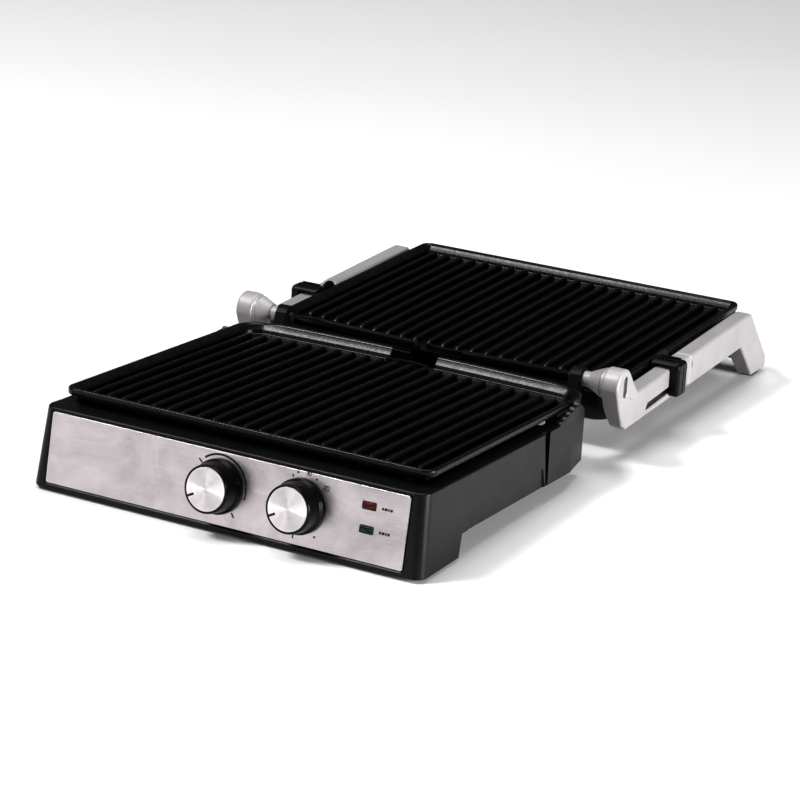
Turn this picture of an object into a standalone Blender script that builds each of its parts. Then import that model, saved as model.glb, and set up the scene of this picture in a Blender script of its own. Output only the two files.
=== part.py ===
"""Contact grill (panini press) opened flat: base, two ribbed plates, floating upper half and U handle.

Lengths below are millimetres and are turned into metres as the meshes are made.
+X is the press's right, +Y its back, +Z up. Z is 0 at the worktop.
"""

import math

import bmesh
import bpy
from mathutils import Matrix, Vector

MM = 0.001
GAP = 0.3  # running and seating clearance between neighbouring pieces

# hinge line between the halves
HINGE_Y, HINGE_Z = 8.5, 59.5
KNUCKLE_R, NECK_R, PIN_R = 11.0, 5.8, 3.4

# ribbed plates
RIBS, RIB_PITCH = 22, 12.0
RIB_HEIGHT, RIB_FOOT, RIB_TOP = 4.6, 5.4, 2.4
PLATE_HALF_X = 141.8
PLATE_FRONT = -13.0  # rim ahead of the rib noses
PLATE_BACK_MID, PLATE_BACK_SIDE = 234.0, 228.5  # hinge-side rim, at the spout and at the corners
RIB_END_MID, RIB_END_SIDE = 213.0, 204.0
RIM_TOP, RIM_BACK_TOP = 2.8, 4.2  # above the rib tops
FLANGE_DROP, FLANGE_WIDTH = 5.2, 6.0
PAN_BOTTOM = -7.4
CORNER_FRONT, CORNER_BACK = 8.0, 19.0
SPOUT_HALF = 19.0
LOWER_ORIGIN = (0.0, -240.5, 64.4)  # rib noses of the lower plate, at rib-top height
LOWER_TILT = -2.3  # degrees, draining towards the hinge
UPPER_ORIGIN = (0.0, 257.5, 54.9)
UPPER_TILT = -1.0

# base
BASE_HALF_TOP, BASE_HALF_LOW = 147.0, 150.8
FRONT_TOP_Y, FRONT_LOW_Y = -268.5, -277.5
DECK_Z, DECK_SLOPE = 57.3, -0.0400
FOOT_Z, SKIRT_FRONT_Z, SKIRT_BACK_Z = 2.0, 17.0, 10.5
BASE_BACK_Y = -25.5
TOWER_FRONT_Y, TOWER_TOP_Z = -86.0, 58.2
STEPS, STEP_RUN, STEP_RISE = 5, 7.4, 1.5
WALL = 2.6
FRONT_ROUND = 8.0

# control panel
PANEL_HALF_X, PANEL_LOW_Z, PANEL_HIGH_Z = 138.0, 6.0, 54.5
PANEL_SHIFT = -1.6
KNOB_X = {"left": -4.5, "right": 57.5}
KNOB_Z, KNOB_R, KNOB_CAP_R, KNOB_DEPTH = 31.5, 18.6, 15.6, 16.6
POINTER_ANGLE = 28.0  # degrees below the disc's left-hand side
LAMP_X, LAMP_Z = 107.5, {"red": 42.5, "green": 27.0}
LAMP_SIZE = (9.4, 4.4)

# arms and handle
ARM_OUT, ARM_IN = 159.0, 145.6
CONE_END, NECK_END, LUG_IN = 133.0, 127.3, 118.0
BRACKET_Y, BRACKET_LENGTH, BRACKET_OUT = 90.5, 17.0, 166.6
PIVOT_Y, PIVOT_Z = 99.0, 38.4
GRIP_Y, GRIP_Z, GRIP_R = 280.2, 17.2, 9.2

# upper housing, in the upper plate's own frame
HOUSING_HALF_X = 141.6


def clear_scene():
    for obj in list(bpy.data.objects):
        bpy.data.objects.remove(obj)


def material(name, colour, roughness, metallic=0.0):
    """Principled material of this name, made once."""
    found = bpy.data.materials.get(name)
    if found:
        return found
    made = bpy.data.materials.new(name)
    made.use_nodes = True
    shader = made.node_tree.nodes["Principled BSDF"]
    shader.inputs["Base Color"].default_value = (*colour, 1.0)
    shader.inputs["Roughness"].default_value = roughness
    shader.inputs["Metallic"].default_value = metallic
    made.diffuse_color = (*colour, 1.0)
    return made


def black_plastic():
    return material("black_plastic", (0.02, 0.02, 0.022), 0.45)


def nonstick():
    return material("nonstick_coating", (0.015, 0.015, 0.017), 0.4, 0.2)


def steel():
    return material("brushed_steel", (0.62, 0.62, 0.61), 0.3, 1.0)


def silver():
    return material("silver_paint", (0.78, 0.79, 0.8), 0.35, 0.3)


def rubber():
    return material("black_rubber", (0.03, 0.03, 0.03), 0.85)


def ivory_plastic():
    return material("ivory_plastic", (0.6, 0.57, 0.48), 0.5)


def heater_metal():
    return material("heater_steel", (0.3, 0.29, 0.28), 0.5, 0.9)


def finish(mesh_data, name, mat, place=(0, 0, 0), turn=(0, 0, 0), smooth=30.0):
    """bmesh in mm -> object in metres, with its faces facing out."""
    bmesh.ops.recalc_face_normals(mesh_data, faces=mesh_data.faces)
    mesh = bpy.data.meshes.new(name)
    bmesh.ops.scale(mesh_data, vec=(MM, MM, MM), verts=mesh_data.verts)
    mesh_data.to_mesh(mesh)
    mesh_data.free()
    mesh.shade_smooth()
    mesh.set_sharp_from_angle(angle=math.radians(smooth))
    mesh.materials.append(mat)
    obj = bpy.data.objects.new(name, mesh)
    obj.location = Vector(place) * MM
    obj.rotation_euler = [math.radians(a) for a in turn]
    bpy.context.scene.collection.objects.link(obj)
    return obj


def helper(obj):
    """Marks a cutter or an added lump, which isn't a piece of its own."""
    obj.hide_render = True
    obj.display_type = "WIRE"
    return obj


def boolean(obj, other, operation):
    change = obj.modifiers.new(operation.lower() + "_" + other.name, "BOOLEAN")
    change.operation = operation
    change.solver = "EXACT"
    change.object = helper(other)


def cut(obj, *cutters):
    for other in cutters:
        boolean(obj, other, "DIFFERENCE")


def join(obj, *lumps):
    for other in lumps:
        boolean(obj, other, "UNION")


def prism(outline, axis, low, high, into=None):
    """Closed prism: outline in the two axes after `axis` (X: y,z; Y: x,z; Z: x,y), from low to high."""
    made = into or bmesh.new()

    def point(u, v, w):
        return {"X": (w, u, v), "Y": (u, w, v), "Z": (u, v, w)}[axis]

    ends = []
    for level in (low, high):
        ends.append([made.verts.new(point(u, v, level)) for u, v in outline])
    made.faces.new(ends[0][::-1])
    made.faces.new(ends[1])
    for i in range(len(outline)):
        j = (i + 1) % len(outline)
        made.faces.new((ends[0][i], ends[0][j], ends[1][j], ends[1][i]))
    return made


def loft(rings, into=None):
    """Closed solid through rings of the same number of points."""
    made = into or bmesh.new()
    verts = [[made.verts.new(p) for p in ring] for ring in rings]
    made.faces.new(verts[0][::-1])
    made.faces.new(verts[-1])
    for lower, upper in zip(verts, verts[1:]):
        for i in range(len(lower)):
            j = (i + 1) % len(lower)
            made.faces.new((lower[i], lower[j], upper[j], upper[i]))
    return made


def span(sign, near, far):
    """Low and high x of something that reaches from `near` to `far` out from the middle."""
    return (near, far) if sign > 0 else (-far, -near)


def block(low, high, into=None):
    outline = [(low[0], low[1]), (high[0], low[1]), (high[0], high[1]), (low[0], high[1])]
    return prism(outline, "Z", low[2], high[2], into)


def arc(centre, radius, start, end, steps):
    """Points on a circle, angles in degrees."""
    found = []
    for i in range(steps + 1):
        angle = math.radians(start + (end - start) * i / steps)
        found.append((centre[0] + radius * math.cos(angle), centre[1] + radius * math.sin(angle)))
    return found


def rounded_box(half_x, front, back, radius_front, radius_back, steps=5):
    """Plan outline, counter-clockwise from the front right."""
    corners = (
        (half_x - radius_front, front + radius_front, radius_front, -90),
        (half_x - radius_back, back - radius_back, radius_back, 0),
        (-half_x + radius_back, back - radius_back, radius_back, 90),
        (-half_x + radius_front, front + radius_front, radius_front, 180),
    )
    outline = []
    for x, y, radius, start in corners:
        outline += arc((x, y), radius, start, start + 90, steps)
    return outline


def turned(profile, steps=24):
    """Solid of revolution about Z from (radius, height) points, flat at both ends."""
    made = bmesh.new()
    rings = []
    for radius, height in profile:
        ring = []
        for i in range(steps):
            angle = 2 * math.pi * i / steps
            ring.append(made.verts.new((radius * math.cos(angle), radius * math.sin(angle), height)))
        rings.append(ring)
    made.faces.new(rings[0][::-1])
    made.faces.new(rings[-1])
    for lower, upper in zip(rings, rings[1:]):
        for i in range(steps):
            j = (i + 1) % steps
            made.faces.new((lower[i], lower[j], upper[j], upper[i]))
    return made


def rod(name, mat, radius, low, high, centre, axis="X", steps=16):
    """Round bar along an axis; centre holds the two other coordinates."""
    shape = prism(arc(centre, radius, 0, 360 - 360 / steps, steps - 1), axis, low, high)
    return finish(shape, name, mat)


def deck_z(y):
    return DECK_Z + DECK_SLOPE * (y - FRONT_TOP_Y)


def skirt_z(y):
    share = (y + 220.0) / (BASE_BACK_Y + 220.0)
    return SKIRT_FRONT_Z + (SKIRT_BACK_Z - SKIRT_FRONT_Z) * share


# ---- plates -------------------------------------------------------------------------------------


def plate_back_y(x, inset=0.0):
    """Hinge-side edge of the plate: a shallow V with a rounded nose towards the spout."""
    share = min(abs(x) / (PLATE_HALF_X - CORNER_BACK), 1.0)
    return PLATE_BACK_MID + (PLATE_BACK_SIDE - PLATE_BACK_MID) * share - inset


def plate_outline(inset):
    """Plan outline of the plate, moved in by `inset`."""
    half = PLATE_HALF_X - inset
    front = PLATE_FRONT + inset
    radius_front = max(CORNER_FRONT - inset, 1.5)
    radius_back = CORNER_BACK - inset
    side_back = PLATE_BACK_SIDE - inset
    outline = arc((half - radius_front, front + radius_front), radius_front, -90, 0, 4)
    outline += arc((half - radius_back, side_back - radius_back), radius_back, 0, 88, 6)
    for x in (SPOUT_HALF * 2, 0, -SPOUT_HALF * 2):
        outline.append((x, plate_back_y(x, inset)))
    outline += arc((-half + radius_back, side_back - radius_back), radius_back, 92, 180, 6)
    outline += arc((-half + radius_front, front + radius_front), radius_front, 180, 270, 4)
    return outline


def rib_end(x):
    share = abs(x) / ((RIBS - 1) * RIB_PITCH / 2)
    return RIB_END_MID + (RIB_END_SIDE - RIB_END_MID) * share * share


def add_rib(made, x):
    """One ridge with a sloping nose at each end, its foot sunk in the pan floor."""
    foot, top = RIB_FOOT / 2, RIB_TOP / 2
    sunk = -RIB_HEIGHT - 1.2
    end = rib_end(x)
    rings = []
    for y, lift in ((-1.6, -RIB_HEIGHT * 0.9), (0.6, 0.0), (end - 0.6, 0.0), (end + 1.6, -RIB_HEIGHT * 0.9)):
        half_top = top if lift == 0.0 else top * 0.8
        low = [(x - foot, y, sunk), (x + foot, y, sunk)]
        rings.append(low + [(x + half_top, y, lift), (x - half_top, y, lift)])
    loft(rings, made)


def ring_at(outline, z):
    return [(x, y, z) for x, y in outline]


def grill_plate(name, place, turn):
    """Die-cast pan with a flange, 22 ribs, a raised hinge-side wall and a spout through it."""
    pan = loft(
        [
            ring_at(plate_outline(FLANGE_WIDTH + 1.5), PAN_BOTTOM),
            ring_at(plate_outline(FLANGE_WIDTH), PAN_BOTTOM + 2.0),
            ring_at(plate_outline(FLANGE_WIDTH), -FLANGE_DROP + RIM_TOP + 1.4),
        ]
    )
    plate = finish(pan, name, nonstick(), place, turn)
    flange = loft(
        [
            ring_at(plate_outline(0.4), RIM_TOP - FLANGE_DROP),
            ring_at(plate_outline(0.0), RIM_TOP - 1.0),
            ring_at(plate_outline(0.9), RIM_TOP),
        ]
    )
    wall_band = [(x, plate_back_y(x, 0.9)) for x in (118, 60, 0, -60, -118)]
    wall_band += [(x, plate_back_y(x, 6.0)) for x in (-118, -60, 0, 60, 118)]
    hollow = loft(
        [
            ring_at(plate_outline(9.8), -RIB_HEIGHT),
            ring_at(plate_outline(8.0), RIM_TOP - FLANGE_DROP - 0.6),
            ring_at(plate_outline(4.0), RIM_TOP - 1.0),
            ring_at(plate_outline(3.4), RIM_BACK_TOP + 2.0),
        ]
    )
    ridges = bmesh.new()
    for i in range(RIBS):
        add_rib(ridges, (i - (RIBS - 1) / 2) * RIB_PITCH)
    spout_outline = [(-SPOUT_HALF, 221), (SPOUT_HALF, 221), (SPOUT_HALF, 240), (-SPOUT_HALF, 240)]
    spout = prism(spout_outline, "Z", -RIB_HEIGHT + 0.4, RIM_BACK_TOP + 3.0)
    join(plate, finish(flange, "add_flange_" + name, nonstick(), place, turn))
    raised = prism(wall_band, "Z", RIM_TOP - 2.0, RIM_BACK_TOP)
    join(plate, finish(raised, "add_wall_" + name, nonstick(), place, turn))
    cut(plate, finish(hollow, "cut_hollow_" + name, nonstick(), place, turn))
    join(plate, finish(ridges, "add_ribs_" + name, nonstick(), place, turn))
    cut(plate, finish(spout, "cut_spout_" + name, nonstick(), place, turn))
    return plate


def heater(name, origin, turn, depth):
    """Bent tube with two legs under a plate, its ends turned down to the terminals."""
    points = []
    half, front, back, bend = 88.0, 34.0, 176.0, 22.0
    points += [(-30, back, -16.0), (-30, back, 0)]
    points += [(-30, front + 40, 0)]
    points += [(x, y, 0) for x, y in arc((-30 - bend, front + 40), bend, 0, -180, 6)][1:]
    points += [(x, y, 0) for x, y in arc((-half + 4, back - bend), 10, 0, 180, 4)]
    points += [(-half - 6, front, 0)]
    points += [(x, y, 0) for x, y in arc((-half + 12, front), 18, 180, 270, 3)][1:]
    right = [(-x, y, z) for x, y, z in reversed(points)]
    curve = bpy.data.curves.new(name, "CURVE")
    curve.dimensions = "3D"
    curve.bevel_depth = 3.2 * MM
    curve.bevel_resolution = 1
    curve.use_fill_caps = True
    line = curve.splines.new("POLY")
    route = points + right
    line.points.add(len(route) - 1)
    for spot, (x, y, z) in zip(line.points, route):
        spot.co = (x * MM, y * MM, (z - depth) * MM, 1.0)
    curve.materials.append(heater_metal())
    obj = bpy.data.objects.new(name, curve)
    obj.location = Vector(origin) * MM
    obj.rotation_euler = [math.radians(a) for a in turn]
    bpy.context.scene.collection.objects.link(obj)
    return obj


def reflector(name, origin, turn, depth):
    """Thin pressed tray under a heater, its rim turned up."""
    low, high = -depth - 7.0, -depth + 3.0
    outer = loft(
        [
            ring_at(rounded_box(116, 6, 194, 12, 12, 3), low),
            ring_at(rounded_box(122, 0, 200, 12, 12, 3), high),
        ]
    )
    inner = loft(
        [
            ring_at(rounded_box(115, 7, 193, 11, 11, 3), low + 1.0),
            ring_at(rounded_box(121.2, 0.8, 199.2, 11, 11, 3), high + 1),
        ]
    )
    tray = finish(outer, name, heater_metal(), origin, turn)
    cut(tray, finish(inner, "cut_" + name, heater_metal(), origin, turn))
    slot = block((-36, 166, low - 2), (36, 186, low + 3))
    cut(tray, finish(slot, "cut_slot_" + name, heater_metal(), origin, turn))
    return tray


# ---- base ---------------------------------------------------------------------------------------


def base_profile(inset=0.0):
    """Side outline (y, z) of the base, from the front foot round to the back."""
    stairs = []
    for i in range(STEPS):
        y = TOWER_FRONT_Y + 14.0 + i * STEP_RUN
        low = TOWER_TOP_Z - (STEPS - i) * STEP_RISE
        stairs += [(y, low), (y + 1.4, low + STEP_RISE)]
    top = [(FRONT_TOP_Y, DECK_Z - 1.2), (FRONT_TOP_Y + 1.4, DECK_Z)]
    top += [(TOWER_FRONT_Y, deck_z(TOWER_FRONT_Y))]
    top += stairs
    top += [(-40.0, TOWER_TOP_Z), (BASE_BACK_Y - 1.5, 50.5), (BASE_BACK_Y, 49.0)]
    low = [(BASE_BACK_Y, skirt_z(BASE_BACK_Y)), (-220.0, SKIRT_FRONT_Z)]
    return low + [(-225.5, FOOT_Z), (FRONT_LOW_Y, FOOT_Z)] + top


def side_draft(obj, top_half, low_half, top_z, low_z):
    """Leans the side walls: x is scaled with height."""
    for vert in obj.data.vertices:
        share = (vert.co.z / MM - low_z) / (top_z - low_z)
        half = low_half + (top_half - low_half) * share
        vert.co.x *= half / low_half


def inner_plan(half, front):
    """Inner plan of the casing, which narrows with the hinge towers towards the back."""
    right = arc((half - 6, front + 6), 6, -90, 0, 3) + [(half, -58.0)]
    for x, y in ((145.4, -50.0), (143.6, -40.0), (141.4, BASE_BACK_Y - WALL)):
        right.append((min(half, x), y))
    return right + [(-x, y) for x, y in right[::-1]]


def base_casing():
    """Moulded body: drafted sides, two hinge towers with stepped shoulders, open below and above."""
    shape = prism(base_profile(), "X", -BASE_HALF_LOW, BASE_HALF_LOW)
    casing = finish(shape, "base_casing", black_plastic())
    side_draft(casing, BASE_HALF_TOP, BASE_HALF_LOW, DECK_Z, FOOT_Z)
    around = rounded_box(170, FRONT_LOW_Y - 20, 40, 0.1, 0.1, 1)
    front_mask = loft([ring_at(around, -5), ring_at(around, 80)])
    keep = loft(
        [
            ring_at(rounded_box(BASE_HALF_LOW + 0.1, FRONT_LOW_Y - 0.6, 60, FRONT_ROUND, 1, 6), -6),
            ring_at(rounded_box(BASE_HALF_TOP - 0.9, FRONT_TOP_Y + 2.0, 60, FRONT_ROUND, 1, 6), 81),
        ]
    )
    mask = finish(front_mask, "cut_front_corners", black_plastic())
    cut(mask, finish(keep, "keep_front_corners", black_plastic()))
    cut(casing, mask)

    in_low, in_top = BASE_HALF_LOW - WALL, BASE_HALF_TOP - WALL - 0.6
    under_deck = inner_plan(in_top, FRONT_TOP_Y + WALL + 1.8)
    cavity = loft(
        [
            ring_at(inner_plan(in_low, FRONT_LOW_Y + WALL + 1.6), -3),
            [(x, y, deck_z(y) - WALL - 0.2) for x, y in under_deck],
        ]
    )
    cut(casing, finish(cavity, "cut_base_cavity", black_plastic()))
    well = loft(
        [
            ring_at(rounded_box(136.6, FRONT_TOP_Y + 20.6, -5.0, 4, 4, 2), 30.0),
            ring_at(rounded_box(136.6, FRONT_TOP_Y + 20.6, -5.0, 4, 4, 2), 75.0),
        ]
    )
    cut(casing, finish(well, "cut_plate_well", black_plastic()))
    between = block((-128, BASE_BACK_Y - 30, 46.0), (128, 0, 75))
    cut(casing, finish(between, "cut_between_towers", black_plastic()))
    over_rim = block((-142.6, -70.5, 49.4), (142.6, 10, 75))
    cut(casing, finish(over_rim, "cut_rim_pocket", black_plastic()))
    window = panel_prism(-3.2, -8.0, 8.0, "cut_panel_window")
    recess = panel_prism(0.5, -1.6, 6.0, "cut_panel_recess")
    cut(casing, window, recess)
    for side, sign in (("left", -1), ("right", 1)):
        cut(casing, side_recess(side, sign), seam_wedge(side, sign), tower_chamfer(side, sign))
    for side, sign in (("left", -1), ("right", 1)):
        low, high = sorted((sign * (LUG_IN - 0.2), sign * (NECK_END + 0.2)))
        slot = block((low, BASE_BACK_Y - 8, 21.0), (high, BASE_BACK_Y + 5, 48.0))
        cut(casing, finish(slot, "cut_lug_slot_" + side, black_plastic()))
    tray_gate = block((-64, BASE_BACK_Y - 8, 2), (64, 0, 15.5))
    cut(casing, finish(tray_gate, "cut_tray_gate", black_plastic()))
    inlet_hole = prism(arc((-92.0, 26.0), 8.3, 0, 345, 23), "Y", BASE_BACK_Y - 8, 0)
    cut(casing, finish(inlet_hole, "cut_cord_inlet", black_plastic()))
    return casing


def panel_angle():
    return math.atan2(FRONT_TOP_Y - FRONT_LOW_Y, DECK_Z - FOOT_Z)


def panel_y(z):
    """Front face of the base at this height."""
    return FRONT_LOW_Y + (FRONT_TOP_Y - FRONT_LOW_Y) * (z - FOOT_Z) / (DECK_Z - FOOT_Z)


def panel_prism(grow, inward, outward, name, mat=None):
    """Slab in the leaning front face, wider than the panel by `grow`, between two depths from it."""
    outline = rounded_box(PANEL_HALF_X + grow, PANEL_LOW_Z - grow, PANEL_HIGH_Z + grow, 3.0, 3.0, 3)
    rings = []
    for depth in (-inward, -outward):
        rings.append([(x + PANEL_SHIFT, panel_y(z) + depth, z) for x, z in outline])
    return finish(loft(rings), name, mat or black_plastic())


def side_recess(side, sign):
    """Shallow sunk band low on the side wall."""
    outline = [(-210.0, 32.2), (-100.0, 27.2), (-96.0, 6.0), (-213.0, 6.0)]
    low, high = span(sign, BASE_HALF_LOW - 1.9, BASE_HALF_LOW + 4)
    return finish(prism(outline, "X", low, high), "cut_side_recess_" + side, black_plastic())


def seam_wedge(side, sign):
    """Groove between side wall and hinge tower, wide at the top."""
    outline = [(-96.8, 60.0), (-86.6, 60.0), (-94.6, 5.0), (-95.8, 5.0)]
    low, high = span(sign, BASE_HALF_TOP - 2.0, BASE_HALF_LOW + 4)
    return finish(prism(outline, "X", low, high), "cut_seam_wedge_" + side, black_plastic())


def tower_chamfer(side, sign):
    """Slants the rear corner of the hinge tower."""
    outline = [(148.8, -50.0), (144.2, BASE_BACK_Y - 0.01), (143.0, BASE_BACK_Y + 5)]
    outline += [(160.0, -10.0), (160.0, -50.0)]
    wedge = prism([(sign * x, y) for x, y in outline], "Z", -4, 80)
    return finish(wedge, "cut_tower_chamfer_" + side, black_plastic())


def front_panel():
    """Stainless fascia with holes for the two shafts and the two lamps."""
    panel = panel_prism(0.0, -1.3, -0.1, "front_panel", steel())
    for side, x in KNOB_X.items():
        hole = prism(arc((x, KNOB_Z), 5.5, 0, 337.5, 15), "Y", -290, -250)
        cut(panel, finish(hole, "cut_shaft_hole_" + side, steel()))
    for colour in LAMP_Z:
        cut(panel, lamp_window(colour, "cut_lamp_hole_"))
    return panel


def lamp_window(colour, label):
    """Cutter for a lamp's opening."""
    z = LAMP_Z[colour]
    half_x, half_z = LAMP_SIZE[0] / 2 + 0.4, LAMP_SIZE[1] / 2 + 0.4
    outline = [(LAMP_X - half_x, z - half_z), (LAMP_X + half_x, z - half_z)]
    outline += [(LAMP_X + half_x, z + half_z), (LAMP_X - half_x, z + half_z)]
    return finish(prism(outline, "Y", -290, -250), label + colour, steel())


def panel_backing():
    """Black carrier behind the fascia, to which the controls are bolted."""
    carrier = panel_prism(-3.8, -4.2, -1.7, "control_carrier")
    for side, x in KNOB_X.items():
        hole = prism(arc((x, KNOB_Z), 5.5, 0, 337.5, 15), "Y", -290, -250)
        cut(carrier, finish(hole, "cut_carrier_hole_" + side, black_plastic()))
    for colour in LAMP_Z:
        cut(carrier, lamp_window(colour, "cut_carrier_lamp_"))
    return carrier


def lamp(colour, tint):
    """Lens with a wider foot behind the carrier."""
    z = LAMP_Z[colour]
    half_x, half_z = LAMP_SIZE[0] / 2, LAMP_SIZE[1] / 2
    rings = []
    for depth, grow in ((-1.0, -0.9), (-0.2, 0.0), (4.4, 0.0), (4.401, 1.6), (7.0, 1.6)):
        left, right = LAMP_X - half_x - grow, LAMP_X + half_x + grow
        low, high = z - half_z - grow, z + half_z + grow
        near, far = panel_y(low) + depth, panel_y(high) + depth
        rings.append([(left, near, low), (right, near, low), (right, far, high), (left, far, high)])
    return finish(loft(rings), "lamp_lens_" + colour, material("lens_" + colour, tint, 0.15))


def knob(side):
    """Skirt with a pointer rib and its shaft; local +Z points out of the panel."""
    profile = [(KNOB_R, 0.9), (KNOB_R, 3.2), (KNOB_R - 1.4, 4.6), (KNOB_CAP_R + 1.4, 6.0)]
    profile += [(KNOB_CAP_R + 0.9, KNOB_DEPTH - 1.0), (KNOB_CAP_R + 0.2, KNOB_DEPTH - 0.2)]
    turn = (90 - math.degrees(panel_angle()), 0, 0)
    place = (KNOB_X[side], panel_y(KNOB_Z), KNOB_Z)
    black = material("knob_black", (0.02, 0.02, 0.02), 0.3)
    body = finish(turned(profile, 32), "knob_" + side, black, place, turn)
    seat = turned([(KNOB_CAP_R - 0.5, KNOB_DEPTH - 1.4), (KNOB_CAP_R - 0.5, KNOB_DEPTH + 2)], 32)
    cut(body, finish(seat, "cut_cap_seat_" + side, black_plastic(), place, turn))
    shaft = turned([(3.0, -14.0), (3.0, 2.0)], 12)
    join(body, finish(shaft, "add_shaft_" + side, steel(), place, turn))
    return body


def knob_cap(side):
    """Turned aluminium disc set in the knob's face, with a groove for the pointer."""
    turn = (90 - math.degrees(panel_angle()), 0, 0)
    place = (KNOB_X[side], panel_y(KNOB_Z), KNOB_Z)
    low, high = KNOB_DEPTH - 1.1, KNOB_DEPTH
    profile = [(KNOB_CAP_R - 0.8, low), (KNOB_CAP_R - 0.8, high - 0.4), (KNOB_CAP_R - 1.3, high)]
    aluminium = material("turned_aluminium", (0.8, 0.8, 0.79), 0.25, 1.0)
    cap = finish(turned(profile, 32), "knob_cap_" + side, aluminium, place, turn)
    groove = block((-KNOB_CAP_R - 1, -0.45, high - 0.35), (-KNOB_CAP_R + 7.0, 0.45, high + 1))
    aim = Matrix.Rotation(math.radians(POINTER_ANGLE), 3, "Z")
    bmesh.ops.rotate(groove, cent=(0, 0, 0), matrix=aim, verts=groove.verts)
    cut(cap, finish(groove, "cut_pointer_" + side, steel(), place, turn))
    return cap


def control_body(name, side, width, depth, mat):
    """Switch body behind the carrier, bored for the knob's shaft."""
    y = panel_y(KNOB_Z)
    x = KNOB_X[side]
    half, near = width / 2, panel_y(KNOB_Z + 12) + 4.6
    shape = block((x - half, near, KNOB_Z - 12), (x + half, near + depth, KNOB_Z + 12))
    body = finish(shape, name, mat)
    bore = prism(arc((x, KNOB_Z), 5.2, 0, 337.5, 15), "Y", y, y + 18)
    cut(body, finish(bore, "cut_bore_" + name, mat))
    return body


def bottom_cover():
    """Floor of the base with rear foot posts and the drip tray's bay."""
    half = BASE_HALF_LOW - WALL - 3.2
    back = BASE_BACK_Y - WALL - 0.8
    front = FRONT_LOW_Y + 8.2
    under = [(front, 2.6), (-229.0, 2.6), (-223.0, SKIRT_FRONT_Z + 1.0), (back, skirt_z(back) + 1.6)]
    over = [(back, skirt_z(back) + 4.0), (-224.6, SKIRT_FRONT_Z + 3.6), (-230.6, 5.0), (front, 5.0)]
    cover = finish(prism(under + over, "X", -half, half), "bottom_cover", black_plastic())
    for side, sign in (("left", -1), ("right", 1)):
        post = prism(arc((sign * 108.0, -58.0), 9.0, 0, 337.5, 15), "Z", 2.2, 15.0)
        join(cover, finish(post, "add_rear_post_" + side, black_plastic()))
        angle_iron = [(66.0, 2.6), (62.6, 2.6), (62.6, 4.0), (64.6, 4.0), (64.6, 16.0), (66.0, 16.0)]
        rail = prism(angle_iron, "Y", -128, -30)
        if sign < 0:
            bmesh.ops.scale(rail, vec=(-1, 1, 1), verts=rail.verts)
        join(cover, finish(rail, "add_tray_rail_" + side, black_plastic()))
        corner = [(sign * 144.8, -55.0), (sign * 152.0, -55.0), (sign * 152.0, back + 2.0)]
        corner.append((sign * 139.8, back + 2.0))
        cut(cover, finish(prism(corner, "Z", -1.0, 30.0), "cut_cover_corner_" + side, black_plastic()))
    return cover


def foot_pad(name, x, y, radius, low, high):
    return rod(name, rubber(), radius, low, high, (x, y), "Z", 16)


def drip_tray():
    """Low drawer with a deeper basin under the spouts."""
    tray = finish(block((-61.6, -122, 4.4), (61.6, -17.0, 10.6)), "drip_tray", black_plastic())
    basin = block((-61.6, -17.5, 4.4), (61.6, 20.0, 17.6))
    join(tray, finish(basin, "add_basin", black_plastic()))
    hollow_low = block((-59.6, -120, 6.2), (59.6, -14.0, 14.0))
    hollow_back = block((-59.6, -15.5, 6.2), (59.6, 18.0, 24.0))
    cut(tray, finish(hollow_low, "cut_tray_low", black_plastic()))
    cut(tray, finish(hollow_back, "cut_tray_basin", black_plastic()))
    return tray


def hinge_lug(side, sign):
    """Steel arm from the base's rear wall up to the hinge pin."""
    outline = arc((HINGE_Y, HINGE_Z), 8.0, -60, 150, 9)
    outline += [(-4.0, 50.0), (-34.0, 44.0), (-34.0, 22.0), (-24.5, 22.0)]
    low, high = sorted((sign * (LUG_IN + 0.2), sign * (NECK_END - 0.3)))
    lug = finish(prism(outline, "X", low, high), "hinge_lug_" + side, heater_metal())
    bore = prism(arc((HINGE_Y, HINGE_Z), PIN_R + 0.1, 0, 345, 23), "X", low - 2, high + 2)
    cut(lug, finish(bore, "cut_lug_bore_" + side, heater_metal()))
    return lug


def hinge_pin(side, sign):
    low, high = sorted((sign * (LUG_IN - 2.0), sign * (ARM_OUT - 6.5)))
    return rod("hinge_pin_" + side, steel(), PIN_R, low, high, (HINGE_Y, HINGE_Z), "X", 24)


# ---- arms and handle ----------------------------------------------------------------------------


def arm_outline():
    """Side view (y, z): knuckle, leg, straight bar and the slanted foot leg."""
    outline = arc((HINGE_Y, HINGE_Z), KNUCKLE_R + 1.6, 40, 190, 12)
    outline += [(1.6, 44.0), (9.4, 28.6), (12.0, 26.0), (16.5, 24.6)]
    outline += [(234.0, 32.6), (262.6, 3.4), (264.5, 2.4)]
    outline += arc((285.95, 7.8), 5.6, -90, 40, 5)
    outline += [(262.5, 42.5), (251.0, 53.2), (243.0, 56.2), (237.0, 56.0)]
    outline += [(34.0, 48.8)]
    return outline


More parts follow.
